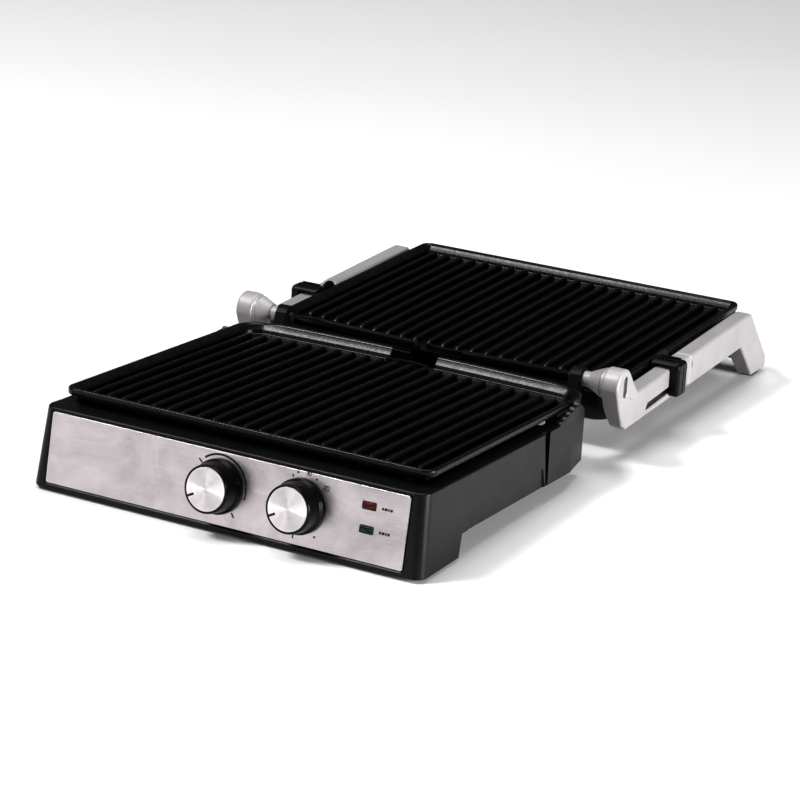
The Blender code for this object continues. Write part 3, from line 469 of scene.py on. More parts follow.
def brushed(name, light, dark, along=LINES_ALONG_X, rough=(0.24, 0.42), mottle=26.0, cloud=0.5, aniso=0.45):
    """Brushed stainless steel: long fine lines, slow cloudy mottling, a few deeper scratches."""
    g = Graph(name)
    lines = g.noise(45.0, 6.0, g.stretch(along), 0.75)
    fine = g.noise(160.0, 3.0, g.stretch(along), 0.6)
    patch = g.noise(mottle, 4.0, roughness=0.62, distortion=0.9)
    tone = g.drift(g.blend(patch, lines, cloud), dark, light, 0.34, 0.62)
    scratch = g.remap(g.cells(60.0, g.stretch((0.14, 9.0, 9.0), (0, 5, 0))), 1.0, 0.0, 0.0, 0.02)
    colour = g.mix(g.maths("MULTIPLY", scratch, 0.25), tone, light)
    rough_map = g.remap(g.plus(fine, patch, 0.6), *rough, 0.55, 1.05)
    grooves = g.bump(lines, 0.00002)
    tiny = g.bump(fine, 0.00001, 0.8, grooves)
    return g.done(colour, rough_map, tiny, metallic=1.0, Anisotropic=aniso)


def turned_metal():
    """Face-turned aluminium: concentric tool lines about the disc's own Z axis."""
    g = Graph("turned_aluminium")
    x, y, _ = g.axes()
    squares = g.maths("ADD", g.maths("MULTIPLY", x, x), g.maths("MULTIPLY", y, y))
    radius = g.maths("POWER", squares, 0.5)
    across = g.node("ShaderNodeCombineXYZ", {"X": radius}).outputs["Vector"]
    lines = g.noise(2600.0, 3.0, across, 0.7)
    coarse = g.noise(420.0, 2.0, across)
    colour = g.drift(g.blend(lines, coarse, 0.5), (0.69, 0.65, 0.654), (0.88, 0.835, 0.84))
    rough_map = g.remap(lines, 0.3, 0.42)
    tool_lines = g.bump(lines, 0.000006)
    tangent = g.node("ShaderNodeTangent", {}, direction_type="RADIAL", axis="Z").outputs["Tangent"]
    return g.done(colour, rough_map, tool_lines, metallic=1.0, Anisotropic=0.92, Tangent=tangent)


def silver_paint():
    """Pearl silver paint over die casting: fine flake, soft orange peel, rubbed patches."""
    g = Graph("silver_paint")
    drift = g.noise(30.0, 4.0, distortion=0.5)
    flake = g.noise(2600.0, 1.0)
    base = g.drift(drift, (0.385, 0.37, 0.378), (0.45, 0.43, 0.44), 0.3, 0.72)
    colour = g.mix(g.remap(flake, 0.0, 0.5, 0.45, 0.72), base, (0.58, 0.558, 0.57))
    rub = g.noise(70.0, 5.0, g.stretch((1.0, 0.25, 1.0)), 0.7)
    rough_map = g.remap(rub, 0.44, 0.6, 0.32, 0.72)
    peel = g.bump(g.noise(420.0, 2.0), 0.00003, 0.6)
    flakes = g.bump(flake, 0.000006, 0.8, peel)
    coat = {"Coat_Weight": 0.06, "Coat_Roughness": 0.25}
    return g.done(colour, rough_map, flakes, metallic=0.3, specular=0.35, **coat)


def knob_plastic():
    """Satin black knob: faint draw lines down its side, finger polish."""
    g = Graph("knob_black")
    colour = g.drift(g.noise(120.0, 3.0), grey(0.002, 0.0022), grey(0.0045, 0.005))
    polish = g.noise(90.0, 5.0, roughness=0.7)
    lines = g.noise(300.0, 3.0, g.stretch((6.0, 6.0, 0.4)))
    rough_map = g.remap(g.plus(polish, lines, 0.4), 0.2, 0.38, 0.5, 0.95)
    tiny = g.bump(g.noise(1900.0, 2.0), 0.00001)
    return g.done(colour, rough_map, tiny, specular=0.22)


def rubber():
    g = Graph("black_rubber")
    dust = g.noise(400.0, 5.0, roughness=0.75)
    colour = g.drift(dust, grey(0.012), (0.045, 0.043, 0.041), 0.35, 0.75)
    rough_map = g.remap(g.noise(160.0, 3.0), 0.72, 0.92)
    return g.done(colour, rough_map, g.bump(g.cells(1400.0), 0.00006), specular=0.3)


def heater_steel():
    """Heat-tinted steel: straw and blue bands over grey scale."""
    g = Graph("heater_steel")
    heat = g.noise(11.0, 3.0, distortion=1.2)
    straw, plum, blue = (0.33, 0.27, 0.18), (0.2, 0.17, 0.2), (0.17, 0.19, 0.23)
    tint = g.ramp(heat, ((0.3, (0.22, 0.21, 0.2)), (0.48, straw), (0.6, plum), (0.75, blue)))
    scale = g.noise(260.0, 5.0, roughness=0.7)
    colour = g.mix(g.remap(scale, 0.0, 0.5, 0.5, 0.75), tint, (0.09, 0.085, 0.08))
    rough_map = g.remap(scale, 0.3, 0.58)
    return g.done(colour, rough_map, g.bump(scale, 0.00004), metallic=0.9)


def ivory():
    g = Graph("ivory_plastic")
    colour = g.drift(g.noise(60.0, 4.0), (0.52, 0.47, 0.36), (0.64, 0.6, 0.5))
    rough_map = g.remap(g.noise(200.0, 4.0), 0.38, 0.55)
    return g.done(colour, rough_map, g.bump(g.noise(900.0, 2.0), 0.00002))


def lens(name, deep, bright):
    """Tinted lens: fine prism lines behind a polished face."""
    g = Graph(name)
    inputs = {"Vector": g.coords, "Scale": 520.0}
    rows = g.node("ShaderNodeTexWave", inputs, wave_type="BANDS", bands_direction="X").outputs["Fac"]
    patch = g.noise(420.0, 2.0)
    colour = g.drift(g.blend(rows, patch, 0.6), deep, bright, 0.2, 0.85)
    rough_map = g.remap(patch, 0.08, 0.2)
    ridges = g.bump(rows, 0.00008, 0.6)
    glow = {"Emission_Color": colour, "Emission_Strength": 0.16}
    return g.done(colour, rough_map, ridges, specular=0.35, Coat_Weight=0.15, Coat_Roughness=0.08, **glow)


def ink():
    g = Graph("print_ink")
    thin = g.noise(900.0, 3.0)
    colour = g.drift(thin, (0.006, 0.0055, 0.006), (0.022, 0.02, 0.021), 0.35, 0.8)
    return g.done(colour, g.remap(thin, 0.42, 0.6), g.bump(thin, 0.000008), specular=0.35)


CASE_BLACK = moulded("black_plastic", (0.003, 0.0031, 0.0034), (0.0055, 0.0057, 0.0062), 0.32, specular=0.27)
SHELL_BLACK = moulded("shell_plastic", grey(0.0018, 0.002), grey(0.0038, 0.0042), 0.34, 1150.0, 0.00005, 0.16)
LUG_BLACK = moulded("lug_enamel", grey(0.0018), grey(0.004), 0.4, 700.0, 0.00004, 0.12)
INNER_BLACK = moulded("inner_plastic", grey(0.008), grey(0.016), 0.55, 900.0, 0.00005, 0.4)
NONSTICK = nonstick()
PANEL_STEEL = brushed("brushed_steel", (0.68, 0.625, 0.645), (0.45, 0.415, 0.43), cloud=0.62)
COVER_STEEL = brushed("cover_steel", (0.7, 0.69, 0.69), (0.5, 0.49, 0.49), rough=(0.26, 0.4), cloud=0.35)
SCREW_STEEL = brushed("screw_steel", grey(0.62), grey(0.4), NO_LINES, (0.22, 0.4), 300.0, 0.6, 0.0)
PIN_STEEL = brushed("pin_steel", grey(0.1), grey(0.05), NO_LINES, (0.36, 0.5), 300.0, 0.6, 0.0)
TURNED = turned_metal()
SILVER = silver_paint()
KNOB_BLACK = knob_plastic()
RUBBER = rubber()
HEATER = heater_steel()
IVORY = ivory()
INK = ink()
LENS = {
    "red": lens("lens_red", (0.045, 0.0016, 0.001), (0.2, 0.009, 0.005)),
    "green": lens("lens_green", (0.0008, 0.012, 0.005), (0.003, 0.055, 0.024)),
}
BUTTON_GREY = moulded("button_grey", grey(0.05, 0.052), grey(0.08, 0.083), 0.42)


# ---- plates ----


def plate_back_y(x, moved):
    share = min(abs(x) / (PLATE_HALF_X - CORNER_BACK), 1.0)
    nose = 1.2 * math.exp(-((x / 30.0) ** 2))
    return PLATE_BACK_MID - nose + (PLATE_BACK_SIDE - PLATE_BACK_MID) * share - moved


def plate_outline(moved):
    """Plan outline of the plate, moved in; the same count of points for every amount."""
    half = PLATE_HALF_X - moved
    front = PLATE_FRONT + moved
    radius_front = max(CORNER_FRONT - moved, 1.2)
    radius_back = max(CORNER_BACK - moved, 4.0)
    side_back = PLATE_BACK_SIDE - moved
    right = arc((half - radius_front, front + radius_front), radius_front, -90, 0, 8)
    right += arc((half - radius_back, side_back - radius_back), radius_back, 0, 86, 10)
    for i in range(1, 15):
        x = (half - radius_back) * (1 - i / 15.0)
        right.append((x, plate_back_y(x, moved)))
    return both_sides(right, [(0.0, plate_back_y(0.0, moved))])


def wall_rise(x, y):
    """Share of the raised hinge-side wall at a point: none at the sides, full along the back."""
    side = min(max((WALL_HALF_X - abs(x)) / WALL_EASE, 0.0), 1.0)
    back = min(max((y - WALL_FRONT) / WALL_EASE, 0.0), 1.0)
    return side * side * (3 - 2 * side) * back


def plate_ring(moved, z, rise):
    return [(x, y, z + rise * wall_rise(x, y)) for x, y in plate_outline(moved)]


def rib_end(x):
    share = abs(x) / ((RIBS - 1) * RIB_PITCH / 2)
    return RIB_END_MID + (RIB_END_SIDE - RIB_END_MID) * share * share


RIB_SIDE = ((2.95, -5.3), (2.8, -4.66), (2.55, -4.4), (2.34, -3.85), (2.02, -2.5))
RIB_SIDE += ((1.7, -1.15), (1.44, -0.46), (1.0, -0.12), (0.45, 0.0))


def rib(x, made):
    """One ridge: filleted foot, drafted flanks, rounded top, and a rounded slope at each end."""
    rings = []
    noses = []
    for k in range(9):
        share = k / 8
        lift = math.sin(share * math.pi / 2) ** 0.8
        run = (1 - math.cos(share * math.pi / 2)) ** 0.85
        noses.append((-2.6 + 4.4 * run, lift, 0.62 + 0.38 * share))
    end = rib_end(x)
    stations = noses + [(end - y, lift, width) for y, lift, width in noses[::-1]]
    for y, lift, width in stations:
        ring = []
        for dx, dz in both_sides(RIB_SIDE):
            height = dz if dz < -RIB_HEIGHT else -RIB_HEIGHT + (dz + RIB_HEIGHT) * max(lift, 0.02)
            narrow = width if dz > -4.0 else 1.0
            ring.append((x + dx * narrow, y, height))
        rings.append(ring)
    loft(rings, made)


def grill_plate(name, matrix):
    """Die-cast pan with flange, ridges, raised hinge wall with two steps, spout and drain lip."""
    rise = RIM_BACK_TOP - RIM_TOP
    # distance in from the rim's outline, height, share of the hinge wall's rise
    stations = [(8.6, PAN_BOTTOM, 0.0), (7.4, PAN_BOTTOM + 0.25, 0.0), (6.4, PAN_BOTTOM + 1.1, 0.0)]
    stations += [(6.0, PAN_BOTTOM + 2.2, 0.0), (6.0, -2.9, 0.0), (5.4, -2.45, 0.0), (1.6, -2.4, 0.0)]
    stations += [(0.6, -2.2, 0.0), (0.15, -1.6, 0.0), (0.0, 0.4, 0.0), (0.0, 1.4, 0.4), (0.22, 2.15, 0.8)]
    stations += [(0.7, 2.65, 1.0), (1.35, 2.8, 1.0), (2.3, 2.8, 1.0), (2.9, 2.62, 1.0), (3.5, 2.0, 1.0)]
    stations += [(4.0, 1.72, 0.8), (4.2, 1.2, 0.7), (5.2, 0.35, 0.5), (5.45, -0.15, 0.4), (6.7, -1.2, 0.2)]
    stations += [(7.1, -1.7, 0.1), (7.5, -3.6, 0.0), (7.9, -4.2, 0.0), (8.7, -4.5, 0.0)]
    stations += [(9.8, -RIB_HEIGHT, 0.0)]
    rings = [plate_ring(moved, z, rise * share) for moved, z, share in stations]
    plate = raw(loft(rings), name, matrix)
    ribs = bmesh.new()
    for i in range(RIBS):
        rib((i - (RIBS - 1) / 2) * RIB_PITCH, ribs)
    spout = fillet(rectangle(-SPOUT_HALF, -4.2, SPOUT_HALF, 9.0), 1.6, 4)
    wide = inset(spout, -0.8)
    channel = levels("Y", [(wide, 219.0), (spout, 223.2), (spout, 230.6), (wide, 231.8), (wide, 241.0)])
    lip_outer = [(x, 217.0 + 5.4 * (1 - (x / 19.0) ** 2)) for x in range(-17, 18, 2)]
    lip_inner = [(x, 215.4 + 3.9 * (1 - (x / 19.0) ** 2)) for x in range(17, -18, -2)]
    lip = pillow(lip_outer + lip_inner, "Z", -5.4, -0.9, 0.5, 2)
    return carve(plate, [add(ribs, matrix), cut(channel, matrix), add(lip, matrix)])


for prefix, matrix in (("lower", LOWER_FRAME), ("upper", UPPER_FRAME)):
    made_plate = grill_plate(prefix + "_plate_casting", matrix)
    piece(made_plate, prefix + "_plate", NONSTICK, [prefix + "_grill_plate"], 38.0)


# ---- base casing ----


def deck_z(y):
    return DECK_Z + DECK_SLOPE * (y - FRONT_TOP_Y)


def panel_y(z):
    return FRONT_LOW_Y + (FRONT_TOP_Y - FRONT_LOW_Y) * (z - FOOT_Z) / (DECK_Z - FOOT_Z)


PANEL_LEAN = math.degrees(math.atan2(FRONT_TOP_Y - FRONT_LOW_Y, DECK_Z - FOOT_Z))


def line_value(points, y):
    """Value at y of a polyline of (y, value) points."""
    for (ya, va), (yb, vb) in zip(points, points[1:]):
        if ya <= y <= yb:
            return va + (vb - va) * (y - ya) / max(yb - ya, 1e-6)
    return points[0][1] if y < points[0][0] else points[-1][1]


def top_line():
    """Height of the casing's top edge against y, with the stepped shoulders."""
    line = [(-300.0, deck_z(-300.0)), (STEPS_FRONT - 0.01, deck_z(-86.0))]
    for i in range(STEPS):
        y = STEPS_FRONT + i * STEP_RUN
        low = TOWER_TOP_Z - (STEPS - i) * STEP_RISE
        line += [(y, low), (y + 1.4, low + STEP_RISE)]
    return line + [(-40.0, TOWER_TOP_Z), (BASE_BACK_Y - 1.5, 50.5), (BASE_BACK_Y, 49.0)]


def low_line():
    return [(-300.0, FOOT_Z), (-225.5, FOOT_Z), (-220.0, SKIRT_FRONT_Z), (BASE_BACK_Y, SKIRT_BACK_Z)]


def casing_shell():
    """Outer form: plan rings from the foot to the deck, drafted, every edge rounded."""
    top, low = top_line(), low_line()
    side_y = [-250.0, -227.0, -225.5, -222.75, -220.0, -218.0, -150.0, -96.0, -84.0]
    side_y += [y for y, _ in top[1:-3]] + [-40.0, -36.0, -27.0]

    def plan_ring(share, moved, above):
        """share 0 is the foot line and 1 the top line; above is added to the height."""

        def height_and_half(y, soft):
            edge_low, edge_top = line_value(low, y), line_value(top, y)
            z = edge_low + (edge_top - edge_low) * share + above * soft
            draft = (BASE_HALF_TOP - BASE_HALF_LOW) * (z - FOOT_Z) / (DECK_Z - FOOT_Z)
            return z, BASE_HALF_LOW + draft - moved * soft

        z, half = height_and_half(-268.0, 1.0)
        centre = (half - CASE_CORNER, panel_y(z) + moved + CASE_CORNER)
        found = [(x, y, z) for x, y in arc(centre, CASE_CORNER, -90, 0, 9)]
        for y in side_y:
            z, half = height_and_half(y, 0.3 if y > -80.0 and share == 1 else 1.0)
            tower = TOWER_HALF - (y - TAPER_FRONT) * TAPER / (BASE_BACK_Y - TAPER_FRONT) - moved
            found.append((min(half, tower) if y > TAPER_FRONT else half, y, z))
        z, _ = height_and_half(BASE_BACK_Y, 1.0)
        found.append((TOWER_HALF - TAPER - moved, BASE_BACK_Y - moved, z))
        return both_sides(found)

    stations = ((0, 0.8, 0.0), (0, 0.22, 0.22), (0, 0.0, 0.8), (0.5, 0.0, 0.0))
    stations += ((1, 0.0, -1.3), (1, 0.12, -0.7), (1, 0.45, -0.25), (1, 1.2, 0.0))
    rings = [plan_ring(*station) for station in stations]
    made = bmesh.new()
    verts = [[made.verts.new(p) for p in ring] for ring in rings]
    bridge(made, verts)
    count = len(rings[0])
    for ring in (verts[0], verts[-1]):
        for i in range(count // 2 - 1):
            made.faces.new((ring[i], ring[i + 1], ring[count - 2 - i], ring[count - 1 - i]))
    return made


def panel_ring(outline, depth):
    """Outline (x, z) laid in the leaning front face, `depth` behind it."""
    return [(x + PANEL_SHIFT, panel_y(z) + depth, z) for x, z in outline]


def inner_plan(half, front):
    """Inner plan of the casing, which narrows with the hinge towers towards the back."""
    right = arc((half - 6, front + 6), 6, -90, 0, 3) + [(half, -58.0)]
    for x, y in ((145.6, -50.0), (143.8, -40.0), (141.6, BASE_BACK_Y - CASE_WALL)):
        right.append((min(half, x), y))
    return both_sides(right)


def base_casing():
    """Casing with its cavity, plate well, panel recess, side bands, seams and openings at the back."""
    casing = raw(casing_shell(), "base_shell")
    in_low, in_top = BASE_HALF_LOW - CASE_WALL, BASE_HALF_TOP - 3.2
    under_deck = [(x, y, deck_z(y) - 2.8) for x, y in inner_plan(in_top, FRONT_TOP_Y + 4.4)]
    cavity_foot = [(x, y, -3) for x, y in inner_plan(in_low, FRONT_LOW_Y + 4.2)]
    cavity = loft([cavity_foot, under_deck])
    well_plan = rounded_box(136.6, FRONT_TOP_Y + 20.6, -5.0, 4, 4, 4)
    mouth = rounded_box(PANEL_HALF_X + 0.7, PANEL_LOW_Z - 0.7, PANEL_HIGH_Z + 0.9, 2.0, 2.0, 4)
    window = rounded_box(PANEL_HALF_X - 3.2, PANEL_LOW_Z + 3.2, PANEL_HIGH_Z - 3.2, 3.0, 3.0, 4)
    edge = ((0.0, 0.55), (0.5, 0.0), (0.5, -6.0))
    changes = [
        cut(cavity),
        cut(levels("Z", [(well_plan, 30.0), (well_plan, 75.0)])),
        cut(block((-128, BASE_BACK_Y - 30, 46.0), (128, 0, 75))),
        cut(block((-142.6, -70.5, 49.4), (142.6, 10, 75))),
        cut(loft([panel_ring(window, 8.0), panel_ring(window, -8.0)])),
        cut(loft([panel_ring(mouth, 1.7), panel_ring(mouth, 0.0)])),
        cut(loft([panel_ring(inset(mouth, -grow), depth) for grow, depth in edge])),
    ]
    band = fillet([(-210.0, 32.2), (-100.0, 27.2), (-96.0, 3.0), (-213.0, 3.0)], 2.2, 3)
    wide = inset(band, -1.4)
    seam = [(-96.8, 62.0), (-86.6, 62.0), (-94.6, 3.0), (-95.8, 3.0)]
    for _, sign in SIDES:
        sunk = levels("X", [(band, 148.6), (band, 149.0), (wide, 151.2), (wide, 158.0)])
        lug_slot = block((117.8, BACK_CUT, 21.0), (127.5, BASE_BACK_Y + 5, 48.0))
        for shape in (sunk, prism(seam, "X", 145.0, 158.0), lug_slot):
            changes.append(cut(mirrored(shape, sign)))
    changes.append(cut(block((-64, BACK_CUT, 2), (64, 0, 15.5))))
    changes.append(cut(prism(circle((-92.0, 26.0), 8.3, 36), "Y", BACK_CUT, 0)))
    return carve(casing, changes)


piece(base_casing(), "base", CASE_BLACK, ["base_casing"], 30.0)


# ---- control panel ----


def lamp_outline(colour, grow=0.0):
    """Rectangle of a lamp in panel x and z."""
    half_x, half_z, z = LAMP_SIZE[0] / 2 + grow, LAMP_SIZE[1] / 2 + grow, LAMP_Z[colour]
    return rectangle(LAMP_X - half_x, z - half_z, LAMP_X + half_x, z + half_z)


def fascia():
    """Stainless sheet with a rolled edge and holes for shafts and lamps."""
    outline = rounded_box(PANEL_HALF_X, PANEL_LOW_Z, PANEL_HIGH_Z, 1.6, 1.6, 5)
    edge = ((0.0, 1.3), (0.0, 0.45), (0.12, 0.22), (0.42, 0.1))
    sheet = raw(loft([panel_ring(inset(outline, moved), depth) for moved, depth in edge]), "fascia")
    holes = [circle((x, KNOB_Z), 5.5, 36) for x in KNOB_X.values()]
    holes += [lamp_outline(colour, 0.4) for colour in LAMP_Z]
    return carve(sheet, [cut(prism(hole, "Y", FRONT_LOW_Y - 12.5, FRONT_TOP_Y + 18.5)) for hole in holes])


piece(fascia(), "base", PANEL_STEEL, ["front_panel"], 40.0)


def on_panel(x, z, out):
    """Point in front of the fascia's face; `out` is the distance ahead of it."""
    lean = math.radians(PANEL_LEAN)
    return (x, panel_y(z) + 0.1 - out * math.cos(lean), z + out * math.sin(lean))


def flat_mark(outline, made):
    """Printed mark: a very thin plate on the fascia, outline in panel x and z."""
    loft([[on_panel(x, z, out) for x, z in outline] for out in (0.0, 0.05)], made)


def bar(start, end, width):
    """Outline of a straight stroke from start to end."""
    along = (end - start).normalized()
    across = Vector((-along.y, along.x)) * width / 2
    return [tuple(p) for p in (start - across, end - across, end + across, start + across)]


def tick(centre, angle, near, far, width):
    return bar(Vector(polar(centre, near, angle)), Vector(polar(centre, far, angle)), width)


# plain strokes for the dial numerals, in a cell 1 wide and 1.8 high
STROKES = {"1": "bc", "2": "abged", "0": "abcdef"}
SEGMENTS = {"a": ((0, 1.8), (1, 1.8)), "b": ((1, 0.9), (1, 1.8)), "c": ((1, 0), (1, 0.9))}
SEGMENTS |= {"d": ((0, 0), (1, 0)), "e": ((0, 0), (0, 0.9)), "f": ((0, 0.9), (0, 1.8))}
SEGMENTS |= {"g": ((0, 0.9), (1, 0.9))}


def numeral(text, centre, height, made):
    unit = height / 1.8
    left = centre[0] - unit * (1.5 * len(text) - 0.5) / 2
    for index, letter in enumerate(text):
        origin = Vector((left + index * 1.5 * unit, centre[1] - height / 2))
        for name in STROKES[letter]:
            start, end = (origin + Vector(p) * unit for p in SEGMENTS[name])
            over = (end - start).normalized() * 0.25
            flat_mark(bar(start - over, end + over, 0.54), made)


def dial_print():
    """Scales of both knobs and the plain dashes beside the lamps."""
    made = bmesh.new()
    left, right = (KNOB_X["left"], KNOB_Z), (KNOB_X["right"], KNOB_Z)
    flat_mark(arc(left, 21.7, 127, 14, 40) + arc(left, 20.3, 14, 127, 40), made)
    flat_mark(arc(left, 21.55, 14, -14, 8) + arc(left, 20.45, -14, 14, 8), made)
    for angle in (138, -52):
        flat_mark(tick(left, angle, 19.4, 23.0, 1.15), made)
    flat_mark(tick(right, 112, 19.4, 21.2, 1.1), made)
    flat_mark(tick(right, -97, 19.4, 21.8, 1.1), made)
    for angle in (101, 63, -53):
        flat_mark(arc(polar(right, 22.0, angle), 0.78, 0, 345, 15), made)
    numeral("10", polar(right, 22.9, 82), 2.8, made)
    numeral("20", polar(right, 23.4, 41), 2.8, made)
    for z in LAMP_Z.values():
        for start, end in ((116.6, 118.0), (118.5, 120.6), (121.1, 122.2), (122.7, 124.4)):
            dash = [(start, z - 0.9), (end, z - 0.9), (end + 0.25, z + 0.9), (start + 0.25, z + 0.9)]
            flat_mark(dash, made)
    return raw(made, "dial_print")


piece(dial_print(), "base", INK)


def lamp_parts(colour):
    """Domed lens in a thin black frame."""
    outline = fillet(lamp_outline(colour), 0.5, 3)
    rings = []
    for moved, out in ((-0.01, -5.0), (0.0, 0.15), (0.15, 0.5), (0.5, 0.72), (1.3, 0.82)):
        rings.append([on_panel(x, v, out) for x, v in inset(outline, moved)])
    dome = raw(loft(rings), "lamp_dome_" + colour)
    piece(dome, "base", LENS[colour], ["lamp_lens_" + colour], 50.0)
    section = [(0.04, -0.6), (0.04, 0.2), (0.15, 0.32), (0.38, 0.32)]
    section += [(0.5, 0.18), (0.5, 0.0), (0.3, -0.05), (0.3, -0.6)]
    made = bmesh.new()
    loops = []
    for grow, out in section:
        loops.append([made.verts.new(on_panel(x, v, out)) for x, v in inset(outline, -grow)])
    bridge(made, loops + loops[:1])
    piece(raw(made, "lamp_frame_" + colour), "base", KNOB_BLACK)


for lamp_colour in LAMP_Z:
    lamp_parts(lamp_colour)

KNOB_BODY = {"left": "temperature_knob", "right": "timer_knob"}
POINTER_ANGLE = 28.0


def knob_parts(side):
    """Knob with skirt, soft crown and a turned disc carrying the pointer line."""
    matrix = frame_matrix((KNOB_X[side], panel_y(KNOB_Z), KNOB_Z), (90 - PANEL_LEAN, 0, 0))
    profile = [(17.6, 0.9), (18.35, 1.05), (18.6, 1.5), (18.6, 2.6), (18.35, 3.3), (17.7, 3.95), (17.25, 4.5)]
    profile += [(17.05, 5.3), (16.85, 8.0), (16.6, 12.0), (16.45, 15.0), (16.3, 15.8)]
    profile += [(16.0, 16.35), (15.55, 16.6), (15.1, 16.55), (14.95, 16.3), (14.95, 15.3)]
    body = raw(turned(profile, 96), "knob_body_" + side, matrix)
    body = carve(body, [add(turned([(3.0, -14.0), (3.0, 2.0)], 24), matrix)])
    piece(body, KNOB_BODY[side], KNOB_BLACK, ["knob_" + side], 30.0)
    rim = KNOB_CAP_R - 0.85
    disc = [(rim, 15.5), (rim, 16.25), (rim - 0.12, 16.42), (rim - 0.4, 16.5), (rim - 0.9, 16.5)]
    disc += [(10.0, 16.44), (5.0, 16.4), (0.6, 16.38)]
    face = raw(turned(disc, 96), "knob_disc_" + side, matrix)
    piece(face, KNOB_BODY[side], TURNED, ["knob_cap_" + side], 40.0)
    line = fillet(rectangle(-rim + 0.1, -0.8, -rim + 5.2, 0.8), 0.3, 3)
    turn = Matrix.Rotation(math.radians(POINTER_ANGLE), 4, "Z")
    pointer = raw(pillow(line, "Z", 16.3, 16.62, 0.08, 2), "knob_pointer_" + side, matrix @ turn)
    piece(pointer, KNOB_BODY[side], INK)


for knob_side in KNOB_X:
    knob_parts(knob_side)


# ---- arms and handle ----


def arm_outline():
    """Side view (y, z) of an arm, corners rounded."""
    knuckle = arc((HINGE_Y, HINGE_Z), KNUCKLE_R + 1.6, 40, 190, 26)
    rest = [(1.6, 44.0, 3.0), (9.4, 28.6, 3.5), (16.5, 24.6, 4.0), (234.0, 32.6, 6.0), (263.4, 2.4, 3.0)]
    rest += [(291.6, 2.4, 5.0), (290.6, 12.2, 4.5), (262.5, 42.5, 6.0), (250.0, 56.2, 9.0)]
    rest += [(236.0, 56.0, 6.0), (34.0, 48.8, 3.0)]
    return fillet([(y, z, 0.0) for y, z in knuckle] + rest, 2.0, 5)


def arm(side, sign):
    """Die-cast arm with rounded edges, turned cone and neck, long groove, and a wider rear part."""
    bar_part = pillow(arm_outline(), "X", ARM_IN, ARM_OUT, ARM_EDGE, 5)
    body = raw(mirrored(bar_part, sign), "arm_casting_" + side)
    cone = [(NECK_R, NECK_END), (NECK_R, CONE_END - 0.4), (6.5, CONE_END)]
    cone += [(10.5, ARM_IN - 3.6), (10.9, ARM_IN - 3.0), (10.95, ARM_IN - 2.6), (10.5, ARM_IN - 2.35)]
    cone += [(10.5, ARM_IN - 2.0), (11.1, ARM_IN - 1.7), (11.2, ARM_IN + 3.0)]
    rear = [(129.0, 28.3), (233.9, 32.15, 4.5), (262.9, 2.4), (291.8, 2.4, 4.0), (291.0, 12.4, 6.0)]
    rear += [(262.8, 42.9, 9.0), (250.2, 56.75, 6.0), (236.0, 56.5, 3.0), (129.0, 52.7)]
    rear_part = pillow(fillet(rear, 2.0, 5), "X", ARM_IN + 0.9, ARM_OUT + REAR_PROUD, ARM_EDGE, 5)
    draft = [(-8, 20.0, 151.3), (30, 20.0, 151.3), (30, 46.0, 144.8), (-8, 46.0, 144.8)]
    inner_cut = loft([[(x, y, z) for y, z, x in draft], [(120.0, y, z) for y, z, _ in draft]])
    groove = fillet([(49.5, 30.4), (106.0, 33.4), (106.0, 38.2), (53.0, 35.4)], 1.0, 4)
    pin_hole = prism(circle((HINGE_Y, HINGE_Z), 3.5, 36), "X", 120, ARM_OUT - 6.2)
    pivot_hole = prism(circle(HEAD_PIVOT, 3.6, 36), "X", 130, 170)
    mark = flared(oval((133.2, 44.6), 0.8, 2.0), ARM_OUT - 1.4, ARM_OUT + REAR_PROUD, 0.2)
    knuckle = laid_along_x(turned(cone, 64), HINGE_Y, HINGE_Z)
    changes = [add(mirrored(knuckle, sign)), add(mirrored(rear_part, sign))]
    for shape in (inner_cut, pin_hole, pivot_hole, flared(groove, ARM_OUT - 3.2, ARM_OUT, 0.35), mark):
        changes.append(cut(mirrored(shape, sign)))
    if side == "right":
        changes.append(cut(flared(oval(BUTTON_SPOT, 3.3, 4.5), ARM_OUT - 5.0, ARM_OUT, 0.45)))
        changes.append(cut(flared(circle((20.5, 47.2), 0.7, 12), ARM_OUT - 0.9, ARM_OUT, 0.15)))
    piece(carve(body, changes), "handle_frame", SILVER, ["arm_" + side], 36.0)
    # Painted shade: a black strip laid in the groove's floor stands in for the shade inside the groove.
    painted_shade_fill = pillow(inset(groove, 0.06), "X", ARM_OUT - 3.15, ARM_OUT - 1.5, 0.2, 2)
    piece(raw(mirrored(painted_shade_fill, sign), "groove_painted_shade_fill_" + side), "handle_frame", SHELL_BLACK)


def release_button():
    """Oval button whose face slopes in towards its lower end."""
    shape = pillow(oval(BUTTON_SPOT, 2.9, 4.4), "X", ARM_OUT - 2.7, ARM_OUT - 0.9, 0.5, 3)
    for vert in shape.verts:
        if vert.co.x > ARM_OUT - 1.8:
            vert.co.x -= 0.05 * (66.0 - vert.co.z)
    button = raw(shape, "release_oval")
    piece(button, "hinge_release", BUTTON_GREY, ["hinge_release_button"], 40.0)


def grip():
    """Cross tube with soft end rolls and two shallow finger rings."""
    half = ARM_IN - 0.3
    profile = [(6.0, -half), (8.6, -half), (9.1, -half + 0.5), (9.2, -half + 1.2)]
    for middle in (-half + 9.0, half - 9.0):
        if middle > 0:
            profile += [(9.2, x) for x in (-90, -45, 0, 45, 90)]
        for off, radius in ((-1.1, 9.2), (-0.6, 8.9), (0.0, 8.8), (0.6, 8.9), (1.1, 9.2)):
            profile.append((radius, middle + off))
    profile += [(9.2, half - 1.2), (9.1, half - 0.5), (8.6, half), (6.0, half)]
    tube = raw(laid_along_x(turned(profile, 64), GRIP_Y, GRIP_Z), "grip_tube")
    piece(tube, "handle_frame", SILVER, ["handle_grip"], 40.0)


def leg_pad(side, sign):
    made = mirrored(soft_block((147.2, 268.0, 0.0), (157.4, 282.0, 1.9), 0.4, 1.5), sign)
    piece(raw(made, "leg_pad_soft_" + side), "handle_frame", RUBBER, ["leg_pad_" + side])


